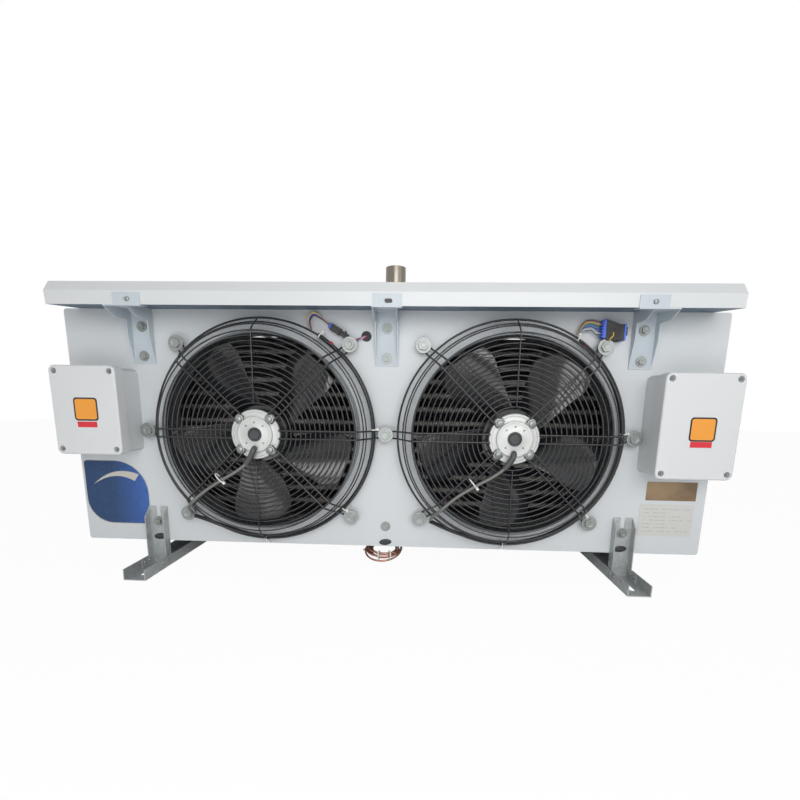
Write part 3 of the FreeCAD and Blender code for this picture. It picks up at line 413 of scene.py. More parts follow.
CONNECTOR = Finish("connector_black", (0.014, 0.013, 0.012), rough=0.42, wander=0.15, grain=0.06)
SEAL_BLUE = Finish("seal_blue", (0.07, 0.15, 0.68), rough=0.4, wander=0.06, grain=0.03)
DECAL_BLUE = Fade("decal_blue", (0.024, 0.062, 0.155), rough=0.26, grain=0.01, other=(0.045, 0.13, 0.43),
                  start=-640.0, end=-500.0)
DECAL_PALE = Finish("decal_pale", (0.55, 0.53, 0.48), rough=0.3, wander=0.02, grain=0.01)
PATCH_ORANGE = Finish("patch_orange", (0.82, 0.33, 0.045), rough=0.36, wander=0.02, grain=0.01)
PATCH_DARK = Finish("patch_dark", (0.02, 0.018, 0.022), rough=0.3, wander=0.1, grain=0.01)
PATCH_RED = Finish("patch_red", (0.66, 0.03, 0.045), rough=0.36, wander=0.02, grain=0.01)
WIRE_COLOURS = {
    "yellow": (0.78, 0.50, 0.05), "white": (0.66, 0.64, 0.56), "grey": (0.22, 0.23, 0.24),
    "blue": (0.03, 0.12, 0.55), "red": (0.60, 0.04, 0.03), "teal": (0.02, 0.22, 0.30),
    "brown": (0.20, 0.06, 0.03),
}

_finished: dict[str, bpy.types.Material] = {}


def material_of(finish: Finish) -> bpy.types.Material:
    """The material of a finish, built once.

    Args:
        finish: the finish.

    Returns:
        Its material.
    """
    if finish.name not in _finished:
        _finished[finish.name] = finish.make()
    return _finished[finish.name]


# Shaping tools


def only(*objects: Object) -> None:
    """Select these objects alone and make the first one active.

    Args:
        objects: what is selected, nothing if left out.
    """
    if bpy.context.object and bpy.context.object.mode != "OBJECT":
        bpy.ops.object.mode_set(mode="OBJECT")
    bpy.ops.object.select_all(action="DESELECT")
    for obj in objects:
        obj.select_set(True)
    if objects:
        bpy.context.view_layer.objects.active = objects[0]


@contextmanager
def editing(obj: Object, kind: str = "VERT") -> Iterator[None]:
    """Edit mode on one object, with its whole mesh selected at the start.

    Args:
        obj: the object.
        kind: what is selected, VERT, EDGE or FACE.

    Returns:
        A context whose end leaves edit mode.
    """
    only(obj)
    bpy.ops.object.mode_set(mode="EDIT")
    bpy.ops.mesh.select_mode(type=kind)
    bpy.ops.mesh.select_all(action="SELECT")
    yield
    bpy.ops.object.mode_set(mode="OBJECT")


def picked(obj: Object, wanted: Callable[[bmesh.types.BMesh], list]) -> None:
    """Select only some elements of the mesh in edit mode.

    Args:
        obj: the object in edit mode.
        wanted: gives the elements, from the mesh.
    """
    bpy.ops.mesh.select_all(action="DESELECT")
    grid = bmesh.from_edit_mesh(obj.data)
    for element in wanted(grid):
        element.select_set(True)
    bmesh.update_edit_mesh(obj.data)


def linked(obj: Object) -> Object:
    """Put a new object into the scene."""
    bpy.context.scene.collection.objects.link(obj)
    return obj


def named(obj: Object, name: str) -> Object:
    """Give an object and its mesh one name."""
    obj.name = obj.data.name = name
    return obj


def settled(name: str) -> Object:
    """Name the primitive that was just added and put its place into its mesh.

    Args:
        name: its name.

    Returns:
        The primitive.
    """
    obj = named(bpy.context.object, name)
    only(obj)
    bpy.ops.object.transform_apply(location=True, rotation=True, scale=True)
    return obj


def joined(name: str, parts: list[Object]) -> Object:
    """Join several objects into one.

    Args:
        name: name of the result.
        parts: objects to join; they are used up.

    Returns:
        The joined object.
    """
    only(*parts)
    if len(parts) > 1:
        bpy.ops.object.join()
    return named(bpy.context.object, name)


def copied(obj: Object, matrix: Matrix) -> Object:
    """Copy an object with a mesh of its own.

    Args:
        obj: the object.
        matrix: how the copy is moved.

    Returns:
        The copy.
    """
    twin = obj.copy()
    twin.data = obj.data.copy()
    twin.data.transform(matrix)
    return linked(twin)


def modified(obj: Object, kind: str, **settings: float | str | bool) -> Object:
    """Add a modifier and apply it.

    Args:
        obj: the object.
        kind: type of the modifier.
        settings: its settings.

    Returns:
        The object.
    """
    only(obj)
    modifier = obj.modifiers.new(kind.title(), kind)
    for key, value in settings.items():
        setattr(modifier, key, value)
    bpy.ops.object.modifier_apply(modifier=modifier.name)
    return obj


def smoothed(obj: Object, angle: float = 35.0) -> Object:
    """Shade a piece smooth.

    Args:
        obj: the piece.
        angle: edges flatter than this, in degrees, are smooth.

    Returns:
        The piece.
    """
    only(obj)
    bpy.ops.object.shade_smooth_by_angle(angle=math.radians(angle))
    return obj


def softened(obj: Object, width: float, segments: int = 2, angle: float = 35.0) -> Object:
    """Round the sharp edges of a piece by a width in millimetres and keep its flats flat."""
    return modified(smoothed(obj), "BEVEL", width=width * MM, segments=segments, limit_method="ANGLE",
                    angle_limit=math.radians(angle), use_clamp_overlap=True, harden_normals=True)


def cleaned(obj: Object) -> Object:
    """Merge doubled points and turn every face outwards.

    Args:
        obj: the piece.

    Returns:
        The piece.
    """
    with editing(obj):
        bpy.ops.mesh.remove_doubles(threshold=MERGE_DISTANCE)
        bpy.ops.mesh.normals_make_consistent(inside=False)
    return obj


def box_of(node: str) -> tuple[Vector, Vector]:
    """Lowest and highest corner of a frame node in millimetres."""
    low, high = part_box(node)
    return low / MM, high / MM


def centre_of(low: Vector, high: Vector) -> tuple[float, float]:
    """X and Z of the middle between two corners."""
    return (low.x + high.x) / 2, (low.z + high.z) / 2


def refined(node: str, width: float = 0.5) -> Object:
    """A welded copy of a frame node with flat faces joined and edges rounded.

    Args:
        node: name of the frame node.
        width: edge radius in millimetres.

    Returns:
        The new object, named for the node.
    """
    obj = copied(frame["nodes"][node], Matrix.Identity(4))
    for key in list(obj.keys()):
        del obj[key]
    obj.parent = None
    named(obj, f"{node}_skin")
    obj.data.materials.clear()
    only(obj)
    bpy.ops.mesh.customdata_custom_splitnormals_clear()
    with editing(obj):
        bpy.ops.mesh.remove_doubles(threshold=MERGE_DISTANCE)
        bpy.ops.mesh.dissolve_limited(angle_limit=FLAT_ANGLE)
    return softened(obj, width) if width else smoothed(obj)


def islands(node: str) -> list[tuple[Vector, Vector]]:
    """Boxes of the separate solids in a frame node.

    Args:
        node: name of the frame node.

    Returns:
        Lowest and highest corner of each solid in millimetres, left to right.
    """
    grid = bmesh.new()
    grid.from_mesh(frame["nodes"][node].data)
    bmesh.ops.remove_doubles(grid, verts=grid.verts, dist=MERGE_DISTANCE)
    left = set(grid.verts)
    boxes = []
    while left:
        group = [left.pop()]
        for vert in group:
            for edge in vert.link_edges:
                other = edge.other_vert(vert)
                if other in left:
                    left.discard(other)
                    group.append(other)
        spots = [v.co / MM for v in group]
        low = Vector([min(p[i] for p in spots) for i in range(3)])
        high = Vector([max(p[i] for p in spots) for i in range(3)])
        boxes.append((low, high))
    grid.free()
    return sorted(boxes, key=lambda b: (round(b[0].x), round(b[0].z)))


def ahead(x: float, front: float, z: float) -> Vector:
    """Point in metres, with the middle size in millimetres ahead of the panel."""
    return Vector((x, PANEL_Y - front, z)) * MM


def facing(angle: float) -> Matrix:
    """Turn by an angle in degrees about the direction in which the fans blow."""
    return Matrix.Rotation(math.radians(angle), 4, "Y")


def about(x: float, z: float, angle: float) -> Matrix:
    """Turn by an angle in degrees about the axis through X and Z along which the fans blow."""
    axis = Matrix.Translation(ahead(x, 0, z))
    return axis @ facing(angle) @ axis.inverted()


def risen(outline: Outline, front: float) -> Outline:
    """An outline of radii and heights, moved ahead by a distance."""
    return tuple((radius, front + height) for radius, height in outline)


def turned(name: str, outline: Outline, x: float = 0.0, z: float = 0.0, steps: int = 64) -> Object:
    """A round piece made by extruding a circle ring by ring along the fan direction.

    Args:
        name: name of the piece.
        outline: radius and distance ahead of the panel of each ring, in order.
        x: X of the axis.
        z: Z of the axis.
        steps: number of sides.

    Returns:
        The piece, with faces outwards.
    """
    only()
    radius, front = outline[0]
    bpy.ops.mesh.primitive_circle_add(vertices=steps, radius=radius * MM, location=ahead(x, front, z),
                                      rotation=(math.pi / 2, 0, 0))
    obj = settled(name)
    with editing(obj, "EDGE"):
        for (r0, p0), (r1, p1) in zip(outline, outline[1:]):
            bpy.ops.mesh.extrude_edges_move(TRANSFORM_OT_translate={"value": (0, (p0 - p1) * MM, 0)})
            if r1 != r0:
                bpy.ops.transform.resize(value=(r1 / r0, 1, r1 / r0), center_override=ahead(x, p1, z))
    return cleaned(obj)


def ring(name: str, x: float, front: float, radius: float, wire: float, steps: int = 120) -> Object:
    """A round wire ring about a fan axis.

    Args:
        name: name of the ring.
        x: X of the axis.
        front: distance of the wire's centre ahead of the panel.
        radius: radius of the wire's centre.
        wire: radius of the wire.
        steps: number of steps round the ring.

    Returns:
        The ring.
    """
    only()
    bpy.ops.mesh.primitive_torus_add(location=ahead(x, front, FAN_Z), rotation=(math.pi / 2, 0, 0),
                                     major_radius=radius * MM, minor_radius=wire * MM,
                                     major_segments=steps, minor_segments=8)
    return smoothed(settled(name), ROUND_SHADING)


def strap_loop(name: str, across: float, deep: float, width: float, thin: float) -> Object:
    """An oval nylon strap that lies square to Z about the origin.

    Args:
        name: name of the strap.
        across: half of its size along X.
        deep: half of its size along Y.
        width: scale of the strap's width.
        thin: section radius as a share of the loop's.

    Returns:
        The strap.
    """
    only()
    bpy.ops.mesh.primitive_torus_add(major_radius=1.0, minor_radius=thin, major_segments=28,
                                     minor_segments=6)
    loop = settled(name)
    loop.data.transform(Matrix.Diagonal((across * MM, deep * MM, width * MM, 1)))
    return loop


def bent_wire(name: str, points: list[Vector], radius: float, sides: int = 3, steps: int = 6) -> Object:
    """A round wire or lead along a smooth line through the run of its points.

    Args:
        name: name of the piece.
        points: control points in metres.
        radius: radius in millimetres.
        sides: resolution of the round section.
        steps: points of the line for each control point.

    Returns:
        The wire as a closed mesh.
    """
    curve = bpy.data.curves.new(name, "CURVE")
    curve.dimensions = "3D"
    curve.bevel_depth = radius * MM
    curve.bevel_resolution = sides
    curve.use_fill_caps = True
    spline = curve.splines.new("NURBS")
    spline.points.add(len(points) - 1)
    for knot, place in zip(spline.points, points):
        knot.co = (*place, 1.0)
    spline.order_u = 3
    spline.use_endpoint_u = True
    spline.resolution_u = steps
    only(linked(bpy.data.objects.new(name, curve)))
    bpy.ops.object.convert(target="MESH")
    return smoothed(cleaned(bpy.context.object), ROUND_SHADING)


def brick(name: str, low: Point, high: Point, edge: float = 0.4, segments: int = 2) -> Object:
    """A moulded block with rounded edges.

    Args:
        name: name of the block.
        low: one corner in millimetres.
        high: the opposite corner.
        edge: radius of its edges.
        segments: steps round an edge.

    Returns:
        The block.
    """
    only()
    middle = [(a + b) / 2 * MM for a, b in zip(low, high)]
    bpy.ops.mesh.primitive_cube_add(size=1.0, location=middle)
    bpy.context.object.scale = [abs(b - a) * MM for a, b in zip(low, high)]
    return softened(settled(name), edge, segments)


def bricks(name: str, blocks: tuple[Block, ...]) -> Object:
    """Join several blocks, each given by two corners and the radius of its edges."""
    return joined(name, [brick(name, *block) for block in blocks])


def rounded_plate(name: str, box: Box, back: float, thick: float, *corners: float) -> Object:
    """A thin plate facing forwards with round corners.

    Args:
        name: name of the plate.
        box: lowest X, highest X, lowest Z and highest Z.
        back: distance of its back ahead of the panel.
        thick: thickness.
        corners: one radius for all, or those of the lower left, lower right, upper right and upper left.

    Returns:
        The plate.
    """
    x0, x1, z0, z1 = box
    only()
    bpy.ops.mesh.primitive_plane_add(size=1.0, location=ahead((x0 + x1) / 2, back + thick, (z0 + z1) / 2),
                                     rotation=(math.pi / 2, 0, 0))
    bpy.context.object.scale = ((x1 - x0) * MM, (z1 - z0) * MM, 1)
    obj = settled(name)
    spots = [ahead(x, back + thick, z) for x, z in ((x0, z0), (x1, z0), (x1, z1), (x0, z1))]
    with editing(obj):
        for spot, radius in zip(spots, corners if len(corners) == 4 else corners * 4):
            picked(obj, lambda grid: [min(grid.verts, key=lambda v: (v.co - spot).length)])
            bpy.ops.mesh.bevel(offset=radius * MM, segments=8, affect="VERTICES")
        bpy.ops.mesh.select_all(action="SELECT")
        bpy.ops.mesh.extrude_region_move(TRANSFORM_OT_translate={"value": (0, thick * MM, 0)})
    return smoothed(cleaned(obj))


def arc_point(nodes: Outline, share: float) -> Vector:
    """Point on the quadratic curve of three X and Z places, at a share of its way."""
    a, b, c = (Vector((x, 0.0, z)) for x, z in nodes)
    return a * (1 - share) ** 2 + b * 2 * share * (1 - share) + c * share ** 2


# Sub-assemblies


@dataclass
class Piece:
    """A finished mesh and what it is made of."""

    obj: Object
    finish: Finish
    slot: Slot
    body: str = "root"
    nodes: tuple[str, ...] = ()


@dataclass
class SubAssembly:
    """A group of pieces that are built and dressed together."""

    pieces: list[Piece] = field(default_factory=list, init=False)

    def keep(self, obj: Object, finish: Finish, slot: Slot, *nodes: str, body: str = "root") -> Object:
        """Note a built piece for dressing.

        Args:
            obj: the piece.
            finish: its surface.
            slot: its slot in the record.
            nodes: frame nodes that it stands for.
            body: body that it rides on.

        Returns:
            The piece.
        """
        self.pieces.append(Piece(obj, finish, slot, body, nodes))
        return obj

    def build(self) -> None:
        """Make the meshes."""
        raise NotImplementedError

    def dress(self) -> None:
        """Give every piece its finish, slot and body, and hide what it stands for."""
        for piece in self.pieces:
            piece.obj.data.materials.clear()
            piece.obj.data.materials.append(material_of(piece.finish))
            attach(piece.obj, piece.body)
            if piece.nodes:
                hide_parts(*piece.nodes)
            log.info("%s: %s", type(self).__name__, piece.obj.name)


@dataclass
class FrameDressing(SubAssembly):
    """Frame nodes whose own shape is right: they only get their finish."""

    finishes: dict[str, Finish] = field(default_factory=lambda: {
        "side_cover_left": CASING_PAINT, "side_cover_right": CASING_PAINT, "bottom_plate": CASING_PAINT,
        "rear_cross_rail": CASING_PAINT, "fan_divider": CASING_PAINT, "tray_inner_panel": LINER_PAINTED_SHADE,
        "rear_strap_left": GALVANISED, "rear_strap_right": GALVANISED, "guard_spacers": ZINC,
        "coil_end_plate_left": GALVANISED, "coil_end_plate_right": GALVANISED,
        "motor_rotor_left": ROTOR_BLACK, "motor_rotor_right": ROTOR_BLACK,
    })

    def build(self) -> None:
        """Nothing is built: the nodes stand as they are."""

    def dress(self) -> None:
        """Put a finish on every node that still shows."""
        for name, node in frame["nodes"].items():
            finish = self.finishes.get(name)
            if finish is None:
                continue
            for material_slot in node.material_slots:
                material_slot.material = material_of(finish)
            if not node.material_slots:
                node.data.materials.append(material_of(finish))
            log.info("%s: %s", type(self).__name__, name)


@dataclass
class Casing(SubAssembly):
    """Painted front sheet, tray and its brackets, with rounded folds."""

    fold: float = 0.6
    bracket_fold: float = 0.4

    def build(self) -> None:
        """Weld and soften the sheet-metal nodes that face the camera."""
        self.keep(refined("front_panel", self.fold), CASING_PAINT, Slot.CASING, "front_panel")
        self.keep(refined("drip_tray", self.fold), TRAY_PAINT, Slot.TRAY, "drip_tray")
        for side in ("left", "centre", "right"):
            node = f"tray_bracket_{side}"
            # The brackets take the darker copy of the casing paint, as painted shade.
            self.keep(refined(node, self.bracket_fold), BRACKET_PAINTED_SHADE, Slot.CASING, node)


@dataclass
class Feet(SubAssembly):
    """Galvanised hanging rails with their hangers, foot tabs, rivets and rubber plugs."""

    fold: float = 0.4
    wall: float = 2.0
    tab_end: float = 23.0
    tab_top: float = 21.0
    tab_edge: float = 0.3
    play: float = 0.2
    rivet_radius: float = 3.6
    rivet_height: float = 2.4
    rivet_z: float = 13.0
    rivet_steps: tuple[float, ...] = (-2.5, 15.0)
    plug_width: float = 26.0
    plug_height: float = 13.5
    plug_tilt: float = -6.0
    ridge_length: float = 15.0
    ridge_proud: float = 0.9
    ridge_sunk: float = 0.8
    ridge_edge: float = 0.5

    def build(self) -> None:
        """Soften the rails and hangers and add the tabs and rivets that join them."""
        for side in ("left", "right"):
            for node in (f"hanging_rail_{side}", f"front_hanger_{side}", f"rear_hanger_{side}"):
                self.keep(refined(node, self.fold), GALVANISED, Slot.GALVANISED, node)
            self.joints(side)
        self.plugs()

    def joints(self, side: str) -> None:
        """Tabs of the hangers along the walls of one rail, with two rivets through each.

        Args:
            side: left or right, as in the names of the nodes.
        """
        low, high = box_of(f"hanging_rail_{side}")
        tabs, heads = [], []
        for place, way in (("front", -1), ("rear", 1)):
            near, far = box_of(f"{place}_hanger_{side}")
            root = near.y if way < 0 else far.y
            for x, sign in ((low.x + self.wall, 1), (high.x - self.wall, -1)):
                tabs.append(brick("tab", (x + sign * self.play, root - way, self.wall + self.play),
                                  (x + sign * self.wall, root + way * self.tab_end, self.tab_top),
                                  self.tab_edge))
                for step in self.rivet_steps:
                    heads.append(self.rivet(x - sign * self.wall, root + way * step, self.rivet_z))
                    heads.append(self.rivet(x + sign * self.wall, root + way * step, self.rivet_z))
        self.keep(joined(f"hanger_tabs_{side}", tabs), GALVANISED, Slot.GALVANISED)
        self.keep(joined(f"rail_rivets_{side}", heads), ZINC, Slot.ZINC)

    def rivet(self, x: float, y: float, z: float) -> Object:
        """One domed head on a face of a rail or tab, half sunk into it.

        Args:
            x: X of the face in millimetres.
            y: Y of the head's middle.
            z: Z of the head's middle.

        Returns:
            The head.
        """
        only()
        bpy.ops.mesh.primitive_uv_sphere_add(segments=16, ring_count=8, radius=self.rivet_radius * MM,
                                             location=(x * MM, y * MM, z * MM))
        bpy.context.object.scale = (self.rivet_height / self.rivet_radius, 1, 1)
        return smoothed(settled("rivet"))

    def plug(self, thick: float) -> Object:
        """One lens with a ridge across, lying about the origin.

        Args:
            thick: how far it stands out, in millimetres.

        Returns:
            The plug.
        """
        only()
        bpy.ops.mesh.primitive_uv_sphere_add(segments=32, ring_count=16, radius=1.0)
        bpy.context.object.rotation_euler = (math.pi / 2, 0, 0)
        lens = settled("lens")
        lens.data.transform(Matrix.Diagonal((self.plug_width / 2 * MM, thick * MM,
                                             self.plug_height / 2 * MM, 1)))
        half = self.ridge_length / 2
        ridge = brick("ridge", (-half, -thick - self.ridge_proud, -self.ridge_proud),
                      (half, -thick + self.ridge_sunk, self.ridge_proud), self.ridge_edge)
        return joined("plug", [smoothed(lens, ROUND_SHADING), ridge])

    def plugs(self) -> None:
        """Rubber plugs over the holes of the front hangers."""
        made = []
        for low, high in islands("rubber_plugs"):
            plug = self.plug(high.y - low.y)
            x, z = centre_of(low, high)
            plug.data.transform(Matrix.Translation(Vector((x, high.y, z)) * MM) @ facing(self.plug_tilt))
            made.append(plug)
        self.keep(joined("oval_plugs", made), RUBBER, Slot.RUBBER, "rubber_plugs")


@dataclass
class Fasteners(SubAssembly):
    """Hexagon bolts with washers, cap screws and lid screws, in the places of the frame's plain ones."""

    sets: tuple[tuple[str, str, float, float], ...] = (
        ("guard_bolt_set", "guard_bolts", 15.0, 17.0),
        ("bracket_bolt_set", "bracket_bolts", 10.0, 11.0),
        ("hanger_bolt_set", "hanger_bolts", 10.0, 11.0),
    )
    head_height: float = 5.0
    chamfer: float = 0.7
    dimple: float = 0.5
    dimple_rim: float = 0.16
    dimple_slope: float = 0.05
    washer_limit: float = 2.5
    washer_edge: float = 0.35
    washer_bore: float = 0.3
    spring_radii: tuple[float, float] = (0.5, 0.56)
    spring_steps: tuple[float, float, float] = (0.3, 0.9, 1.1)
    steps: int = 32
    turn_step: float = 23.0
    cap_dome: Outline = ((1.0, 0.4), (3.0, 0.0), (4.8, -0.7), (5.8, -1.8))
    cap_skirt: Outline = ((6.2, 1.6), (7.6, 1.2), (8.0, 0.0), (0.6, 0.0))
    cap_tip: Outline = ((0.0, 0.5),)
    lid_turn: float = 20.0
    lid_turn_step: float = 47.0
    lid_edge: float = 0.5
    bar: tuple[float, float, float] = (0.7, 0.5, 0.55)

    def bolt(self, name: str, washer: float, thick: float, flats: float) -> Object:
        """A bolt head on its washers, with its seat at the panel's face on the origin's axis.

        Args:
            name: name of the bolt.
            washer: radius of the flat washer.
            thick: its thickness.
            flats: size of the head across its flats.

        Returns:
            The bolt.
        """
        bore, edge = washer * self.washer_bore, self.washer_edge
        plate = turned("washer", ((bore, thick * 0.5), (bore, thick), (washer - edge, thick),
                                  (washer, thick - edge), (washer, 0.0), (bore, 0.0), (bore, thick * 0.5)),
                       steps=self.steps)
        inner, outer = (flats * share for share in self.spring_radii)
        low, high, top = self.spring_steps
        outline = risen(((inner, 0.0), (outer, low), (outer, high), (inner, top)), thick)
        spring = turned("lock_washer", outline, steps=self.steps)
        only()
        bpy.ops.mesh.primitive_cylinder_add(vertices=6, radius=flats / math.sqrt(3) * MM,
                                            depth=self.head_height * MM, rotation=(math.pi / 2, 0, 0),
                                            location=ahead(0, thick + self.head_height / 2, 0))
        head = settled("head")
        with editing(head, "FACE"):
            picked(head, lambda grid: [face for face in grid.faces if face.normal.y < -0.9])
            bpy.ops.mesh.inset(thickness=self.chamfer * MM, depth=0.0)
            bpy.ops.mesh.inset(thickness=flats * self.dimple_rim * MM, depth=0.0)
            bpy.ops.mesh.inset(thickness=flats * self.dimple_slope * MM, depth=-self.dimple * MM)
        softened(head, self.chamfer * 0.6, angle=25.0)
        return joined(name, [smoothed(plate), smoothed(spring), head])

    def row(self, name: str, node: str, washer: float, flats: float) -> None:
        """Put a bolt on every washer of a frame node.

        Args:
            name: name of the set.
            node: name of the frame node.
            washer: radius of the flat washer.
            flats: size of the head across its flats.
        """
        seats = [(low, high) for low, high in islands(node) if high.y - low.y < self.washer_limit]
        first = self.bolt(name, washer, seats[0][1].y - seats[0][0].y, flats)
        heads = []
        for i, (low, high) in enumerate(seats):
            x, z = centre_of(low, high)
            seat = Matrix.Translation(Vector((x, high.y - PANEL_Y, z)) * MM)
            heads.append(copied(first, seat @ about(0, 0, self.turn_step * i)))
        bpy.data.objects.remove(first)
        self.keep(joined(name, heads), ZINC, Slot.ZINC, node)

    def cap_screws(self) -> None:
        """Round flanged heads that clamp the guard wires to the motors."""
        made = []
        for low, high in islands("motor_bolts"):
            back, top = PANEL_Y - high.y, PANEL_Y - low.y
            outline = risen(self.cap_dome, top) + risen(self.cap_skirt, back) + risen(self.cap_tip, top)
            cap = turned("cap", outline, *centre_of(low, high), steps=28)
            made.append(smoothed(cap, angle=40.0))
        self.keep(joined("motor_cap_screws", made), ZINC, Slot.ZINC, "motor_bolts")

    def lid_screws(self) -> None:
        """Slotted plastic lid screws, each turned its own way."""
        made = []
        length, depth, half = self.bar
        for i, (low, high) in enumerate(islands("box_screws")):
            x, z = centre_of(low, high)
            back, front = PANEL_Y - high.y, PANEL_Y - low.y
            radius, edge = (high.x - low.x) / 2, self.lid_edge
            outline = ((0.9, front - 0.9), (1.4, front), (radius - edge, front), (radius, front - edge),
                       (radius, back), (0.9, back), (0.9, front - 0.9))
            reach = radius * length
            slot = brick("slot_bar", (-reach, -depth, -half), (reach, depth / 2, half), edge=0.15)
            slot.data.transform(Matrix.Translation(ahead(x, front, z))
                                @ facing(self.lid_turn + self.lid_turn_step * i))
            made += [smoothed(turned("lid_screw", outline, x, z, steps=24)), slot]
        self.keep(joined("lid_screws", made), SCREW_GREY, Slot.STAINLESS, "box_screws")

    def build(self) -> None:
        """Make every fastener group."""
        for row in self.sets:
            self.row(*row)
        self.cap_screws()
        self.lid_screws()


@dataclass
class WireGuard(SubAssembly):
    """Wire basket over one fan; where two guards share a bolt, the second one's lug is lifted.

    The bends of the arms and stays are given by their distance from the rim and their rise from the face.
    The eye round a bolt is given by its distance from the bolt, its share of the half spacing and its rise.
    """

    side: Side
    lug_front: float = 14.75
    shared_lift: float = 0.0
    face: float = 74.75
    wire: float = 1.75
    thin_wire: float = 1.35
    base_wire: float = 2.0125
    rim: float = 187.0
    rim_bend: float = 3.5
    inner: float = 58.0
    rings: int = 15
    shoulder: float = 203.0
    shoulder_gap: float = 2.2
    base: float = 216.0
    lug: float = 240.0
    flat: float = 224.0
    spacing: float = 15.0
    slanted_start: float = 36.0
    straight_start: float = 44.0
    arm_middle: float = 80.0
    arm_bend: Outline = ((-8.0, 0.0), (1.0, 0.0), (6.0, -5.0))
    arm_narrowing: float = 0.93
    eye: tuple[Point, ...] = ((-19.0, 0.9, 4.0), (-12.0, 0.85, 0.0), (0.0, 0.75, 0.0), (7.0, 0.6, 0.0),
                              (9.0, 0.0, 0.0))
    arm_angles: tuple[float, ...] = (0.0, 45.0, 135.0, 180.0, 225.0, 315.0)
    stay_middle: float = 90.0
    stay_bend: Outline = ((-8.0, 0.0), (1.0, 0.0), (5.0, -6.0))
    stay_proud: float = 2.0
    stay_angles: tuple[float, ...] = (90.0, 270.0)

    def on_slope(self, radius: float) -> float:
        """Distance ahead of the panel of the arm wires at a radius outside the rim."""
        share = (radius - self.rim - self.rim_bend) / (self.flat - self.rim - self.rim_bend)
        return self.face + share * (self.lug_front - self.face)

    def arm(self, angle: float) -> Object:
        """One arm: a wire out to its lug, round the bolt and back to the motor.

        Args:
            angle: direction of the arm in degrees.

        Returns:
            The arm.
        """
        half, face = self.spacing / 2, self.face
        shared = abs(self.side.value + self.lug * math.cos(math.radians(angle))) < 1
        lug = self.lug_front + (self.shared_lift if shared else 0)
        start = self.slanted_start if angle % 90 else self.straight_start
        out = [(start, half, face), (self.arm_middle, half, face)]
        out += [(self.rim + r, half, face + p) for r, p in self.arm_bend]
        out.append((self.base, half * self.arm_narrowing, self.on_slope(self.base)))
        out += [(self.lug + r, half * share, lug + p) for r, share, p in self.eye]
        back = [(r, -s, p) for r, s, p in out[-2::-1]]
        points = [self.side.spot(r, angle, p, s) for r, s, p in out + back]
        return bent_wire("arm", points, self.wire, sides=2, steps=5)

    def stay(self, angle: float) -> Object:
        """One single wire from the smallest ring out to the base ring.

        Args:
            angle: direction of the stay in degrees.

        Returns:
            The stay.
        """
        line = [(self.inner, self.face), (self.stay_middle, self.face)]
        line += [(self.rim + r, self.face + p) for r, p in self.stay_bend]
        line += [(r, self.on_slope(r) + self.stay_proud) for r in (self.shoulder, self.base)]
        points = [self.side.spot(r, angle, p) for r, p in line]
        return bent_wire("stay", points, self.thin_wire, sides=2, steps=5)

    def build(self) -> None:
        """Weld the rings, arms and stays of the basket."""
        x, word = self.side.value, self.side.word
        behind = self.face - self.wire - self.thin_wire
        pitch = (self.rim - self.inner) / (self.rings - 1)
        wires = [ring("face_ring", x, behind, self.rim - i * pitch, self.thin_wire)
                 for i in range(self.rings)]
        basket = ((self.shoulder - self.shoulder_gap, self.thin_wire),
                  (self.shoulder + self.shoulder_gap, self.thin_wire), (self.base, self.base_wire))
        for radius, wire in basket:
            wires.append(ring("basket_ring", x, self.on_slope(radius) - 2 * wire, radius, wire))
        wires += [self.arm(angle) for angle in self.arm_angles]
        wires += [self.stay(angle) for angle in self.stay_angles]
        self.keep(joined(f"wire_guard_{word}", wires), WIRE_BLACK, Slot.GUARD, f"guard_{word}")


@dataclass(frozen=True)
class BladeForm:
    """Law of a fan blade from its root (0) to its tip (1), in millimetres and degrees."""

    width: float = 54.0
    width_gain: float = 72.0
    spread: float = 0.8
    trim: float = 26.0
    trim_start: float = 0.82
    pitch: float = 37.0
    pitch_loss: float = 19.0
    lead: float = 34.0
    lead_power: float = 1.6
    lead_bulge: float = 10.0
    bow: float = 7.0
    bow_gain: float = 4.0

    def place(self, out: float, chord: float, radius: float) -> tuple[float, float]:
        """Where a point of the blade lies.

        Args:
            out: share of the way from the root to the tip.
            chord: share of the width, from -0.5 to 0.5.
            radius: its distance from the axis.

        Returns:
            Its angle in radians ahead of the root's middle, and its distance ahead of the hub's middle.
        """
        trimmed = self.trim * max(0.0, out - self.trim_start) / (1 - self.trim_start) * abs(chord) * 2
        width = self.width + self.width_gain * out ** self.spread - trimmed
        pitch = math.radians(self.pitch - self.pitch_loss * out ** self.spread)
        lead = self.lead * out ** self.lead_power + self.lead_bulge * math.sin(math.pi * out)
        bow = (self.bow + self.bow_gain * out) * (1 - (2 * chord) ** 2)
        swing = (lead + chord * width * math.cos(pitch) - bow * math.sin(pitch)) / radius
        return swing, -chord * width * math.sin(pitch) + bow * math.cos(pitch)


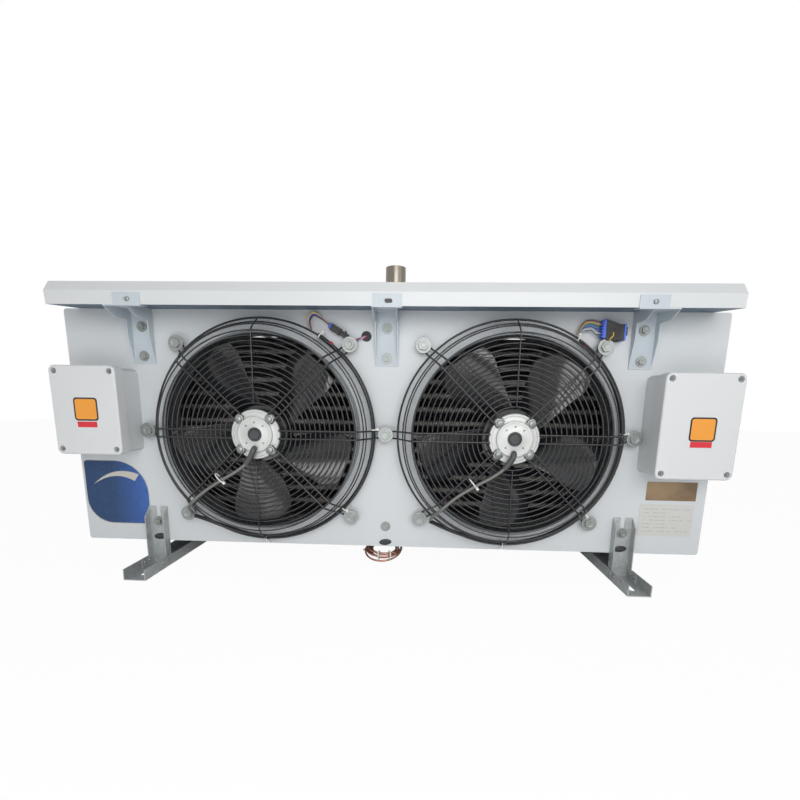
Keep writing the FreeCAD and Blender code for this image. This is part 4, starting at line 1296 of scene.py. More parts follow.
@dataclass
class FanUnit(SubAssembly):
    """Inlet ring, impeller and external-rotor motor of one fan."""

    side: Side
    start: float = 0.0
    ring_bore: float = 186.0
    ring_wall: float = 2.0
    ring_front: float = 50.0
    ring_rear: float = -3.0
    ring_flange: float = 19.0
    lip: float = 2.2
    lip_shift: float = 1.2
    lip_depth: float = 5.0
    form: BladeForm = BladeForm()
    blade_count: int = 5
    blade_grid: tuple[int, int] = (14, 10)
    blade_thick: float = 2.6
    blade_edge: float = 0.8
    root_sunk: float = 2.0
    hub_radius: float = 54.0
    tip_radius: float = 176.0
    hub_bore: float = 47.0
    hub_front: float = 46.0
    hub_length: float = 42.0
    hub_chamfer: float = 1.0
    flange_front: float = 73.0
    plate_front: float = 78.0
    flange: Outline = ((20.0, -9.0), (45.0, -9.0), (46.0, -8.0), (46.0, -1.2), (44.8, 0.0), (42.0, 0.0),
                       (41.0, -1.4), (35.0, -1.4), (33.0, -0.5))
    plate: Outline = ((33.0, -1.0), (32.0, 0.0), (29.0, 0.0), (28.4, -0.5), (15.6, -0.5), (14.6, 0.0),
                      (13.6, 0.0), (13.2, -0.4), (13.2, -4.0), (0.0, -4.0))
    core: Outline = ((42.4, -9.0), (42.4, -53.0), (6.5, -53.0), (6.5, -9.0))
    ear: Outline = ((2.0, -6.0), (9.0, -6.0), (9.4, -5.0), (9.4, -0.6), (8.8, 0.2), (2.0, 0.2), (2.0, -6.0))
    ear_circle: float = 40.0
    ear_angles: tuple[int, ...] = (45, 135, 225, 315)
    hole_shade: Outline = ((0.5, -0.6), (1.5, -0.55), (1.7, -0.4), (1.7, -0.2), (1.2, -0.3), (0.5, -0.6))
    hole_circle: float = 22.5
    hole_angles: tuple[int, ...] = (45, 90, 135, 225, 315)
    cap: Outline = ((13.0, -3.8), (13.0, -0.6), (12.4, 0.2), (10.2, 0.3), (9.6, -1.0), (9.0, -1.2),
                    (8.6, -0.2), (3.0, 0.1), (0.0, 0.1))

    def inlet_ring(self) -> None:
        """Short duct with a rolled front lip and a rear flange."""
        bore, front, rear, lip = self.ring_bore, self.ring_front, self.ring_rear, self.lip
        outer, flange = bore + self.ring_wall, bore + self.ring_flange
        roll = tuple((bore + self.lip_shift - lip * math.cos(a), front - lip + lip * math.sin(a))
                     for a in (math.radians(d) for d in range(-30, 211, 30)))
        neck = front - self.lip_depth
        outline = ((bore, rear), (bore, neck), *roll, (outer, neck), (outer, rear / 2),
                   (flange, rear / 2), (flange, rear), (bore, rear))
        obj = turned(f"inlet_ring_{self.side.word}", outline, self.side.value, FAN_Z, steps=128)
        self.keep(smoothed(obj, angle=40.0), RING_DARK_GREY, Slot.CASING, f"fan_ring_{self.side.word}")

    def blade(self) -> Object:
        """One swept and twisted blade, drawn as a grid and given its thickness.

        Returns:
            The first blade.
        """
        only()
        along, across = self.blade_grid
        bpy.ops.mesh.primitive_grid_add(x_subdivisions=along, y_subdivisions=across, size=1.0)
        obj = settled("blade")
        middle = self.hub_front - self.hub_length / 2
        root = self.hub_radius - self.root_sunk
        for vert in obj.data.vertices:
            out = vert.co.x + 0.5
            radius = root + out * (self.tip_radius - root)
            swing, front = self.form.place(out, vert.co.y, radius)
            swing += math.radians(self.start)
            vert.co = ahead(self.side.value + radius * math.cos(swing), middle + front,
                            FAN_Z + radius * math.sin(swing))
        modified(obj, "SOLIDIFY", thickness=self.blade_thick * MM, offset=0.0)
        modified(obj, "BEVEL", width=self.blade_edge * MM, segments=2, limit_method="ANGLE",
                 angle_limit=math.radians(50))
        modified(obj, "SUBSURF", levels=1, render_levels=1)
        return smoothed(cleaned(obj), angle=50.0)

    def impeller(self) -> None:
        """Hub ring and its blades, all riding on the rotor."""
        x, word = self.side.value, self.side.word
        bore, radius, edge = self.hub_bore, self.hub_radius, self.hub_chamfer
        front, rear = self.hub_front, self.hub_front - self.hub_length
        outline = ((bore, front), (radius - edge, front), (radius, front - edge), (radius, rear + edge),
                   (radius - edge, rear), (bore, rear), (bore, front))
        hub = turned("hub", outline, x, FAN_Z, steps=72)
        first = self.blade()
        blades = [copied(first, about(x, FAN_Z, -i * 360 / self.blade_count))
                  for i in range(self.blade_count)]
        bpy.data.objects.remove(first)
        self.keep(joined(f"fan_impeller_{word}", [smoothed(hub), *blades]), BLADE_BLACK, Slot.BLADE,
                  f"impeller_{word}", body=f"fan_{word}")

    def ringed(self, name: str, outline: Outline, circle: float, angles: tuple[int, ...],
               steps: int) -> list[Object]:
        """Small round pieces on a circle about the fan's axis.

        Args:
            name: name of the pieces.
            outline: radius and distance ahead of the panel of each ring of a piece.
            circle: radius of the circle.
            angles: their places on it in degrees.
            steps: number of sides of a piece.

        Returns:
            The pieces.
        """
        made = []
        for turn in (math.radians(angle) for angle in angles):
            x, z = self.side.value + circle * math.cos(turn), FAN_Z + circle * math.sin(turn)
            made.append(smoothed(turned(name, outline, x, z, steps)))
        return made

    def motor(self) -> None:
        """Cast front of the motor, its raised plate and cap, and dark discs of painted shade as small holes.
        """
        x, word = self.side.value, self.side.word
        disc = turned("disc", risen(self.flange, self.flange_front) + risen(self.plate, self.plate_front),
                      x, FAN_Z, steps=72)
        core = turned("core", risen(self.core, self.flange_front), x, FAN_Z, steps=48)
        ears = self.ringed("ear", risen(self.ear, self.flange_front), self.ear_circle, self.ear_angles,
                           steps=28)
        self.keep(joined(f"motor_front_{word}", [smoothed(disc, angle=30.0), smoothed(core), *ears]), CAST,
                  Slot.MOTOR, f"motor_stator_{word}")
        # Small dark discs in the cap's grey stand for holes in the plate: painted shade.
        holes = self.ringed("hole_shade", risen(self.hole_shade, self.plate_front), self.hole_circle,
                            self.hole_angles, steps=12)
        cap = turned("cap", risen(self.cap, self.plate_front), x, FAN_Z, steps=40)
        self.keep(joined(f"motor_cap_{word}", [smoothed(cap), *holes]), CAP_GREY, Slot.CONNECTOR)

    def build(self) -> None:
        """Make the ring, the impeller and the motor front."""
        self.inlet_ring()
        self.impeller()
        self.motor()


@dataclass
class CoilBlock(SubAssembly):
    """Fin pack with its tubes, bends and header."""

    pitch: float = 5.0
    fin_thick: float = 0.35
    fin_edge: float = 0.02
    shade_sheet_thick: float = 2.0
    shade_sheet_edge: float = 0.3
    tube_radius: float = 6.4
    tube_pitch: float = 34.0
    tube_proud: float = 2.0
    tube_rows: tuple[float, ...] = (0.04, 0.27, 0.65, 0.88)
    bend_angle: float = 62.0

    def fins(self, low: Vector, high: Vector) -> Object:
        """Thin fins at their real spacing.

        Args:
            low: lowest corner of the pack in millimetres.
            high: its highest corner.

        Returns:
            The pack.
        """
        count = int((high.x - low.x) / self.pitch)
        first = brick("fin", low, (low.x + self.fin_thick, high.y, high.z), self.fin_edge, segments=1)
        step = (high.x - low.x - self.fin_thick) / count
        made = [copied(first, Matrix.Translation((i * step * MM, 0, 0))) for i in range(count + 1)]
        bpy.data.objects.remove(first)
        return joined("fin_pack", made)

    def tubes(self, low: Vector, high: Vector) -> Object:
        """Straight tubes through the pack, in rows one behind the other.

        Args:
            low: lowest corner of the pack in millimetres.
            high: its highest corner.

        Returns:
            The tubes.
        """
        made = []
        base = box_of("return_bends")[0].z + self.tube_radius
        for i in range(int(round((high.z - low.z) / self.tube_pitch)) - 1):
            for share in self.tube_rows:
                y, z = low.y + share * (high.y - low.y), base + i * self.tube_pitch
                line = [Vector((x, y, z)) * MM for x in (low.x - self.tube_proud, (low.x + high.x) / 2,
                                                         high.x + self.tube_proud)]
                made.append(bent_wire("tube", line, self.tube_radius, sides=2, steps=1))
        return joined("coil_tubes", made)

    def build(self) -> None:
        """Make the fins, the shade between them, the tubes and what joins these at the ends."""
        low, high = box_of("coil_fins")
        self.keep(self.fins(low, high), FINS, Slot.FINS, "coil_fins")
        # A thin dark sheet across the middle of the fin pack, which the coil itself doesn't have: painted
        # shade between the fins.
        middle, half = (low.y + high.y) / 2, self.shade_sheet_thick / 2
        core = brick("fin_painted_shade", (low.x, middle - half, low.z), (high.x, middle + half, high.z),
                     self.shade_sheet_edge)
        self.keep(core, FIN_SHADE, Slot.FINS)
        # The straight tubes take the pale painted-light finish; the bends and header keep the copper.
        self.keep(self.tubes(low, high), FIN_TUBE_PAINTED_LIGHT, Slot.COPPER)
        for node in ("return_bends", "suction_header", "suction_tail"):
            self.keep(smoothed(refined(node, 0.0), self.bend_angle), TUBE_COPPER, Slot.COPPER, node)


@dataclass
class CopperCoil(SubAssembly):
    """Loose hank of thin copper pipe that hangs tilted under the casing, tied with nylon straps.

    The tilt grows along the pipe from the first to the last of the tilts. The reach loses a layer's width
    from turn to turn, starts again every few turns, and wobbles a little.
    """

    turns: int = 7
    pipe: float = 2.0
    steps: int = 18
    start_turn: float = 2.2
    tilts: tuple[float, ...] = (3.0, 5.0, 8.0, 10.0, 13.0, 16.0, 21.0, 24.0)
    shift: float = 4.0
    drift: float = 4.8
    layer: float = 4.4
    layers: int = 3
    wobble: tuple[float, float] = (1.6, 2.3)
    tightening: float = 4.0
    rise: tuple[float, float] = (6.0, 5.0)
    end: tuple[Point, ...] = ((-52.0, -2.0, -1.0), (-44.0, 1.0, 0.5), (-35.0, 9.0, 3.0))
    sleeve_extra: float = 1.0
    ties: tuple[float, ...] = (256.0, 292.0)
    tie_size: Point = (6.5, 9.5, 14.0)
    tie_thin: float = 0.09
    tie_lift: float = 5.0
    tie_share: float = 0.3
    tie_inset: float = 3.0

    def spot(self, centre: Vector, reach: float, angle: float, lift: float, share: float) -> Vector:
        """Point on the hank, in metres.

        Args:
            centre: middle of the hank in millimetres.
            reach: distance from its axis.
            angle: angle round the axis in radians.
            lift: height above the middle.
            share: how far along the pipe it is, from 0 to 1.

        Returns:
            The point.
        """
        place = share * (len(self.tilts) - 1)
        first = min(int(place), len(self.tilts) - 2)
        tilt = self.tilts[first] + (place - first) * (self.tilts[first + 1] - self.tilts[first])
        aside = self.shift + self.drift * share
        flat = Vector((reach * math.cos(angle) - aside, reach * math.sin(angle), lift))
        return (centre + Matrix.Rotation(math.radians(tilt), 3, "X") @ flat) * MM

    def hank(self, centre: Vector, reach: float, end: list[Vector]) -> Object:
        """The pipe, from its end fitting through all its turns.

        Args:
            centre: middle of the hank in millimetres.
            reach: distance of the outer turns from its axis.
            end: points of the end fitting in metres.

        Returns:
            The pipe.
        """
        points = list(end)
        swell, beat = self.wobble
        high, fall = self.rise
        count = self.turns * self.steps
        for i in range(count + 1):
            share = i / count
            angle = i * math.tau / self.steps + self.start_turn
            out = reach - self.layer * (i // self.steps % self.layers) + swell * math.sin(beat * angle)
            out -= self.tightening * (1 - share)
            points.append(self.spot(centre, out, angle, high - fall * share, share))
        return bent_wire("copper_hank", points, self.pipe, sides=3, steps=5)

    def strap(self, centre: Vector, reach: float, angle: float) -> Object:
        """One nylon strap round the bundle, up to the casing.

        Args:
            centre: middle of the hank in millimetres.
            reach: distance of the outer turns from its axis.
            angle: place of the strap round the axis in radians.

        Returns:
            The strap.
        """
        loop = strap_loop("coil_strap", *self.tie_size, self.tie_thin)
        seat = self.spot(centre, reach - self.tie_inset, angle, self.tie_lift, self.tie_share)
        loop.data.transform(Matrix.Translation(seat) @ Matrix.Rotation(angle, 4, "Z")
                            @ Matrix.Rotation(math.pi / 2, 4, "X"))
        return smoothed(loop, ROUND_SHADING)

    def build(self) -> None:
        """Wind the hank with its end fitting and tie it."""
        low, high = box_of("capillary_coil")
        centre = (low + high) / 2
        reach = (high.x - low.x) / 2 - self.pipe
        end = [Vector((x, centre.y + y, centre.z + z)) * MM for x, y, z in self.end]
        self.keep(self.hank(centre, reach, end), COIL_COPPER, Slot.COPPER, "capillary_coil")
        nose = [end[0].lerp(end[1], 0.5), end[0].lerp(end[1], 0.9), end[1].lerp(end[2], 0.5)]
        sleeve = bent_wire("pipe_sleeve", nose, self.pipe + self.sleeve_extra, sides=4, steps=8)
        self.keep(sleeve, SLEEVE, Slot.SLEEVE)
        straps = [self.strap(centre, reach, math.radians(angle)) for angle in self.ties]
        self.keep(joined("coil_straps", straps), TIE_WHITE, Slot.GALVANISED, "coil_clips")


@dataclass
class ElectricalBoxes(SubAssembly):
    """Two moulded boxes with deep lids and their plain safety patches."""

    base_edge: float = 1.2
    lid_edge: float = 2.2
    patch_size: tuple[float, float] = (46.0, 43.0)
    patch_corner: float = 6.0
    border: float = 2.8
    inner_corner: float = 4.0
    bar_size: tuple[float, float] = (38.0, 10.5)
    bar_corner: float = 0.8
    film: float = 0.25
    inner_film: float = 0.15
    centres: tuple[Point, ...] = ((-560.8, 328.5, 300.0), (570.8, 310.2, 283.0))

    def build(self) -> None:
        """Soften the mouldings and add the patches."""
        for side, centre in zip(("left", "right"), self.centres):
            self.keep(refined(f"box_base_{side}", self.base_edge), BOX_GREY, Slot.BOX, f"box_base_{side}")
            self.keep(refined(f"box_lid_{side}", self.lid_edge), BOX_GREY, Slot.BOX, f"box_lid_{side}")
            self.patches(side, *centre)

    def patches(self, side: str, x: float, z: float, bar_z: float) -> None:
        """A bare orange patch with a dark border over a red bar, on one lid.

        Args:
            side: left or right, as in the names of the nodes.
            x: X of the middle of both.
            z: Z of the patch's middle.
            bar_z: Z of the bar's middle.
        """
        back = PANEL_Y - box_of(f"box_lid_{side}")[0].y
        half, tall = (size / 2 for size in self.patch_size)
        dark = rounded_plate(f"patch_border_{side}", (x - half, x + half, z - tall, z + tall), back,
                             self.film, self.patch_corner)
        self.keep(dark, PATCH_DARK, Slot.LABEL)
        half, tall = half - self.border, tall - self.border
        inner = rounded_plate(f"patch_field_{side}", (x - half, x + half, z - tall, z + tall),
                              back + self.film, self.inner_film, self.inner_corner)
        self.keep(inner, PATCH_ORANGE, Slot.LABEL)
        half, tall = (size / 2 for size in self.bar_size)
        bar = rounded_plate(f"patch_bar_{side}", (x - half, x + half, bar_z - tall, bar_z + tall), back,
                            self.film, self.bar_corner)
        self.keep(bar, PATCH_RED, Slot.LABEL)


@dataclass
class Plates(SubAssembly):
    """Bare brass and rating plates, and a blue decal with one plain swoosh."""

    plate_edge: float = 0.2
    decal_box: Box = (-637.0, -500.0, 86.0, 223.0)
    decal_corners: tuple[float, ...] = (54.0, 5.0, 70.0, 9.0)
    decal_edge: float = 1.8
    edge_film: float = 0.2
    field_film: float = 0.1
    swoosh_top: Outline = ((-619.0, 170.0), (-573.0, 214.0), (-519.0, 193.4))
    swoosh_low: Outline = ((-619.0, 170.0), (-571.0, 203.0), (-529.0, 179.3))
    swoosh_grid: tuple[int, int] = (28, 3)
    swoosh_front: float = 0.42
    swoosh_film: float = 0.14
    rows: int = 7
    row_margin: float = 10.0
    start_margin: float = 8.0
    ragged: float = 22.0
    dash_height: float = 0.9
    dash_film: float = 0.08
    dash_corner: float = 0.2
    dash_least: float = 2.5
    dash_step: float = 1.7
    dash_gap: float = 2.2
    word_gap: float = 6.0

    def rating_lines(self) -> Object:
        """Rows of short plain dashes of uneven length, as fine print looks from afar.

        Returns:
            All the dashes.
        """
        low, high = box_of("rating_plate")
        half = self.dash_height / 2
        first = rounded_plate("dash", (-0.5, 0.5, -half, half), PANEL_Y - low.y, self.dash_film,
                              self.dash_corner)
        dashes = []
        for i in range(self.rows):
            z = high.z - self.row_margin - i * (high.z - low.z - 2 * self.row_margin) / (self.rows - 1)
            x = low.x + self.start_margin
            end = high.x - self.row_margin - self.ragged * (i * 5 % 3)
            while x < end:
                long = self.dash_least + (len(dashes) * 7 % 5) * self.dash_step
                dashes.append(copied(first, Matrix.Translation(Vector((x + long / 2, 0, z)) * MM)
                                     @ Matrix.Diagonal((long, 1, 1, 1))))
                x += long + self.dash_gap + self.word_gap * (len(dashes) % 4 == 0)
        bpy.data.objects.remove(first)
        return joined("rating_lines", dashes)

    def swoosh(self) -> Object:
        """Pale crescent on the decal, drawn as a grid between two curves.

        Returns:
            The crescent.
        """
        only()
        along, across = self.swoosh_grid
        bpy.ops.mesh.primitive_grid_add(x_subdivisions=along, y_subdivisions=across, size=1.0)
        obj = settled("decal_swoosh")
        for vert in obj.data.vertices:
            share, down = vert.co.x + 0.5, vert.co.y + 0.5
            place = arc_point(self.swoosh_top, share).lerp(arc_point(self.swoosh_low, share), down)
            vert.co = ahead(place.x, self.swoosh_front, place.z)
        with editing(obj):
            bpy.ops.mesh.extrude_region_move(TRANSFORM_OT_translate={"value": (0, self.swoosh_film * MM, 0)})
        return cleaned(obj)

    def build(self) -> None:
        """Make the plates, the dashes and the decal."""
        self.keep(refined("brass_plate", self.plate_edge), BRASS, Slot.BRASS, "brass_plate")
        self.keep(refined("rating_plate", self.plate_edge), CREAM, Slot.LABEL, "rating_plate")
        self.keep(self.rating_lines(), INK, Slot.LABEL)
        x0, x1, z0, z1 = self.decal_box
        edge = rounded_plate("decal_edge", self.decal_box, 0.0, self.edge_film, *self.decal_corners)
        self.keep(edge, DECAL_PALE, Slot.LABEL)
        e = self.decal_edge
        corners = [max(1.0, radius - e) for radius in self.decal_corners]
        panel = rounded_plate("decal_field", (x0 + e, x1 - e, z0 + e, z1 - e), self.edge_film,
                              self.field_film, *corners)
        self.keep(panel, DECAL_BLUE, Slot.LABEL)
        self.keep(self.swoosh(), DECAL_PALE, Slot.LABEL)


@dataclass
class TrayFittings(SubAssembly):
    """Drain pipe and the small screws of the tray."""

    pipe_edge: float = 0.5
    tab_screw_radius: float = 4.2
    tab_screw_down: float = 11.0
    left_screw_in: float = 23.0
    right_screw_in: float = 27.0
    edge_screw_radius: float = 2.6
    edge_screws: tuple[float, ...] = (399.0, 419.5)
    edge_z: float = 526.0
    slot_box: Box = (1.5, 14.5, 518.6, 525.6)
    slot_sunk: float = 0.5
    slot_film: float = 0.6
    slot_corner: float = 3.2

    def pan_screw(self, x: float, y: float, z: float, radius: float) -> Object:
        """A domed cross-head screw that faces forwards.

        Args:
            x: X of its axis.
            y: Y of its seat.
            z: Z of its axis.
            radius: radius of its head.

        Returns:
            The screw.
        """
        outline = ((0.7, 1.6), (1.2, 2.2), (radius * 0.6, 2.1), (radius * 0.9, 1.3), (radius, 0.0),
                   (0.7, 0.0), (0.7, 1.6))
        return smoothed(turned("pan_screw", risen(outline, PANEL_Y - y), x, z, steps=20))

    def build(self) -> None:
        """Make the drain pipe, the tab screws and a dark plate of painted shade in the middle tab's slot."""
        self.keep(refined("drain_stub", self.pipe_edge), STAINLESS, Slot.STAINLESS, "drain_stub")
        low, high = box_of("tray_bracket_left")
        left, right = high.x - self.left_screw_in, box_of("tray_bracket_right")[0].x + self.right_screw_in
        screws = [self.pan_screw(x, low.y, high.z - self.tab_screw_down, self.tab_screw_radius)
                  for x in (left, right)]
        screws += [self.pan_screw(x, PANEL_Y, self.edge_z, self.edge_screw_radius) for x in self.edge_screws]
        self.keep(joined("tab_screws", screws), ZINC, Slot.ZINC)
        face = PANEL_Y - box_of("tray_bracket_centre")[0].y
        # A dark plate sunk into the middle tab stands for its empty slot: painted shade.
        slot = rounded_plate("tab_slot_painted_shade", self.slot_box, face - self.slot_sunk, self.slot_film,
                             self.slot_corner)
        self.keep(slot, SLEEVE, Slot.LINER)


@dataclass
class FanWiring(SubAssembly):
    """Sleeved lead on a guard's base ring, the grey motor lead and their ties."""

    side: Side
    last: float = 420.0
    sleeve_radius: float = 4.0
    ring_radius: float = 217.0
    front: float = 14.4
    start: tuple[Point, ...] = ((224.5, 229.0, 35.0), (223.5, 234.0, 19.0), (219.5, 242.0, 14.4))
    step: float = 12.0
    mark: float = 52.0
    mark_half: float = 0.9
    mark_thick: float = 0.35
    lead_radius: float = 3.0
    lead_start: tuple[float, float] = (44.0, 260.5)
    lead_route: tuple[Point, ...] = (
        (52.0, 257.0, 82.5), (77.0, 243.5, 82.0), (110.0, 232.5, 80.5), (150.0, 227.0, 80.0),
        (191.0, 226.0, 83.5), (208.0, 226.5, 62.0), (220.5, 228.0, 40.5))
    elbow_sunk: float = 5.0
    boot_radius: float = 5.4
    boot_end: Point = (57.0, 253.0, 82.6)
    ties: tuple[float, ...] = (269.5, 316.5, 2.5, 58.0)
    tie_front: float = 6.5
    ring_tie: tuple[float, float] = (7.5, 12.0)
    lead_tie: tuple[float, float] = (11.0, 6.5)
    lead_tie_place: Point = (110.0, 229.5, 78.5)
    lead_tie_swing: float = 80.0
    tie_width: float = 12.0
    tie_thin: float = 0.1
    lock_half: float = 2.4
    lock_edge: float = 0.5

    def sleeve(self) -> None:
        """Black sleeve that follows the base ring."""
        word = self.side.word
        first = self.start[-1][1] + self.step / 2
        count = int(round((self.last - first) / self.step))
        points = [self.side.spot(*place) for place in self.start]
        for i in range(count + 1):
            angle = first + (self.last - first) * i / count
            points.append(self.side.spot(self.ring_radius, angle, self.front))
        sleeve = bent_wire(f"sleeved_lead_{word}", points, self.sleeve_radius, sides=4, steps=6)
        self.keep(sleeve, SLEEVE, Slot.SLEEVE, f"fan_sleeve_{word}")

    def lead(self) -> None:
        """Grey lead along the lower arm, and the boot where it leaves the motor."""
        word = self.side.word
        low, high = box_of(f"motor_elbow_{word}")
        front = PANEL_Y - (low.y + self.elbow_sunk)
        points = [self.side.spot(*self.lead_start, front)]
        points += [self.side.spot(*place) for place in self.lead_route]
        lead = bent_wire(f"grey_lead_{word}", points, self.lead_radius, sides=4, steps=8)
        self.keep(lead, LEAD_GREY, Slot.LEAD, f"motor_lead_{word}")
        x = self.side.value
        bend = [ahead(x - 0.5, front - 4.0, high.z - 4), ahead(x - 1, front + 2.0, high.z - 7),
                self.side.spot(40.0, 262.0, front + 1.0), self.side.spot(*self.boot_end)]
        boot = bent_wire(f"lead_boot_{word}", bend, self.boot_radius, sides=5, steps=8)
        self.keep(boot, BOOT, Slot.CONNECTOR, f"motor_elbow_{word}")

    def tie(self, place: Point, across: float, deep: float, swing: float = 0.0) -> Object:
        """A strap of nylon round a bundle, with its small lock.

        Args:
            place: radius and angle about the fan axis, and distance ahead of the panel.
            across: half of its size across the bundle.
            deep: half of its size along the fan axis.
            swing: angle in degrees by which it leaves the square to the ring.

        Returns:
            The tie.
        """
        loop = strap_loop("tie_loop", across, deep, self.tie_width, self.tie_thin)
        lock = brick("tie_lock", (across * 0.5, -deep * 0.2, -self.lock_half),
                     (across + 4, deep * 0.6, self.lock_half), self.lock_edge)
        tie = joined("tie", [smoothed(loop, ROUND_SHADING), lock])
        tie.data.transform(Matrix.Translation(self.side.spot(*place)) @ facing(-place[1] - swing))
        return tie

    def build(self) -> None:
        """Lay the sleeve and the lead, tie them and put the mark on the sleeve."""
        word = self.side.word
        self.sleeve()
        self.lead()
        made = [self.tie((self.ring_radius - 1.0, angle, self.front + self.tie_front), *self.ring_tie)
                for angle in self.ties]
        made.append(self.tie(self.lead_tie_place, *self.lead_tie, self.lead_tie_swing))
        self.keep(joined(f"cable_ties_{word}", made), TIE_WHITE, Slot.LEAD)
        tape = [self.side.spot(self.ring_radius, self.mark + turn, self.front)
                for turn in (-self.mark_half, 0.0, self.mark_half)]
        mark = bent_wire(f"sleeve_mark_{word}", tape, self.sleeve_radius + self.mark_thick, sides=4, steps=3)
        self.keep(mark, PATCH_RED, Slot.SLEEVE)


@dataclass
class Plugs(SubAssembly):
    """Connectors, the grommet and the coloured wires between them."""

    wire_radius: float = 1.05
    grommet_bore: float = 4.2
    grommet_rim: Outline = ((4.2, 0.2), (4.2, 2.0), (5.0, 3.0), (6.6, 3.0), (7.4, 2.2), (8.4, 2.2))
    slim_turn: float = 31.0
    slim_front: float = 0.3
    slim_body: tuple[Block, ...] = (
        ((-17, -13, -6.2), (3, 0, 6.2), 0.9),
        ((3, -11, -5), (19, -1, 5), 0.9),
        ((19, -9.5, -3.6), (25, -2, 3.6), 1.2),
        ((-10, -14.8, 1.2), (14, -12.8, 4.4), 0.5),
        ((11, -15, 0.6), (15, -11, 7.6), 0.6),
        ((1.4, -13.4, -6.6), (2.8, -0.2, 6.6), 0.3),
        ((-3.2, -13.2, -6.5), (-2, -0.2, 6.5), 0.3),
        ((-14, -13.6, -5.2), (-6, -12.6, -2.4), 0.3),
    )
    slim_seal: tuple[Block, ...] = (
        ((-22, -11.5, -5), (-17.2, -1, 5), 1.0),
        ((-19.6, -12.2, -5.6), (-18.2, -0.6, 5.6), 0.4),
    )
    ribs: int = 6
    rib_width: float = 1.7
    teeth: int = 6
    tooth_height: float = 3.0
    hump_slope: float = 0.6
    loop_colours: tuple[str, ...] = ("yellow", "white", "blue", "brown")
    loop_spacing: float = 1.9
    twist_colours: tuple[str, ...] = ("blue", "red", "white")
    twist_turns: float = 1.8
    twist_steps: int = 10
    comb_colours: tuple[str, ...] = ("brown", "yellow", "teal", "blue", "white", "grey")
    comb_spacing: float = 4.9

    def wires(self, name: str, runs: dict[str, list[Point]]) -> None:
        """Thin coloured wires.

        Args:
            name: start of the piece names.
            runs: control points by colour, as X, distance ahead of the panel and Z.
        """
        for colour, points in runs.items():
            finish = Finish(f"wire_{colour}", WIRE_COLOURS[colour], rough=0.35, grain=0.04)
            line = [ahead(*point) for point in points]
            wire = bent_wire(f"{name}_{colour}", line, self.wire_radius, sides=3, steps=6)
            self.keep(wire, finish, Slot.LEAD)

    def grommet(self) -> None:
        """Ribbed rubber ring with a dark throat."""
        low, high = box_of("wire_grommet")
        (x, z), radius, bore = centre_of(low, high), (high.x - low.x) / 2, self.grommet_bore
        outline = self.grommet_rim + ((radius - 0.6, 2.8), (radius, 2.0), (radius, 0.0), (bore, 0.0),
                                      (bore, 0.2))
        rim = turned("rim", outline, x, z, steps=40)
        throat = turned("throat", ((bore, 0.3), (0.0, 0.3)), x, z, steps=40)
        self.keep(joined("panel_grommet", [smoothed(rim), throat]), RUBBER, Slot.RUBBER, "wire_grommet")

    def latch_connector(self) -> None:
        """Slim plug and socket with a latch arm and a blue seal, lying across the panel."""
        x, z = centre_of(*box_of("latch_connector"))
        seat = Matrix.Translation(ahead(x, self.slim_front, z))
        plug, seal = bricks("latch_plug", self.slim_body), bricks("blue_seal", self.slim_seal)
        for piece in (plug, seal):
            piece.data.transform(seat @ facing(self.slim_turn))
        self.keep(plug, CONNECTOR, Slot.CONNECTOR, "latch_connector")
        self.keep(seal, SEAL_BLUE, Slot.CONNECTOR)

    def block_connector(self) -> None:
        """Wide plug with a blue comb, a ribbed humped body and a blue seal."""
        low, high = box_of("block_connector")
        x0, x1, z0, z1 = low.x, high.x, low.z - 6.0, high.z - 2.0
        y, front = PANEL_Y, low.y
        hump = brick("hump", (x0 + 6, front, z1 - 16), (x0 + 31, y - 0.4, z1), 0.8)
        for vert in hump.data.vertices:
            if vert.co.z > (z1 - 5) * MM:
                vert.co.z -= max(0.0, vert.co.x - (x0 + 17) * MM) * self.hump_slope
        body = [brick("block", (x0 + 6, front + 0.6, z0 + 1), (x1 - 9.5, y - 0.2, z1 - 8), 1.0), hump,
                brick("cap", (x1 - 6.4, front + 4, z0 + 10), (x1 - 2, y - 1, z0 + 26), 1.4),
                brick("ledge", (x0 + 9, front - 0.9, z0 + 9), (x0 + 30, front + 2, z0 + 12), 0.5)]
        for i in range(self.ribs):
            x = x0 + 8 + i * (x1 - x0 - 20) / self.ribs
            body.append(brick("rib", (x, front - 0.2, z0 + 0.2), (x + self.rib_width, y - 0.3, z1 - 12),
                              0.3))
        self.keep(joined("block_plug", body), CONNECTOR, Slot.CONNECTOR, "block_connector")
        comb = [brick("comb", (x0 + 1.4, front + 1, z0 + 5), (x0 + 6.2, y - 0.6, z1), 0.6)]
        for i in range(self.teeth):
            z = z0 + 7 + i * (z1 - z0 - 9) / self.teeth
            comb.append(brick("tooth", (x0 - 1.2, front + 2, z), (x0 + 1.8, y - 2, z + self.tooth_height),
                              0.4))
        comb.append(brick("seal", (x1 - 9.8, front + 0.4, z0 + 1.0), (x1 - 6.2, y - 0.8, z1 - 7.5), 0.5))
        self.keep(joined("blue_comb", comb), SEAL_BLUE, Slot.CONNECTOR)

    def loop_wires(self) -> None:
        """Wires that leave the left sleeve in a loop and enter the slim plug's seal."""
        x, z = centre_of(*box_of("latch_connector"))
        x, z = x - 17.0, z + 10.5
        runs = {}
        for i, colour in enumerate(self.loop_colours):
            d = self.loop_spacing * (i - (len(self.loop_colours) - 1) / 2)
            runs[colour] = [(-144 + d * 0.3, 13 + d, 484.0), (-149 + d, 13 + d, 492.0),
                            (-150 + d, 12, 503 - d), (-143 + d * 0.4, 10, 514 - d),
                            (-134, 8 + 0.5 * d, 513 - d * 1.3),
                            (x - 4, 7 + 0.6 * d, z + 3 + d * 0.5), (x + 1, 7 + 0.6 * d, z + d * 0.4)]
        self.wires("loop_wire", runs)

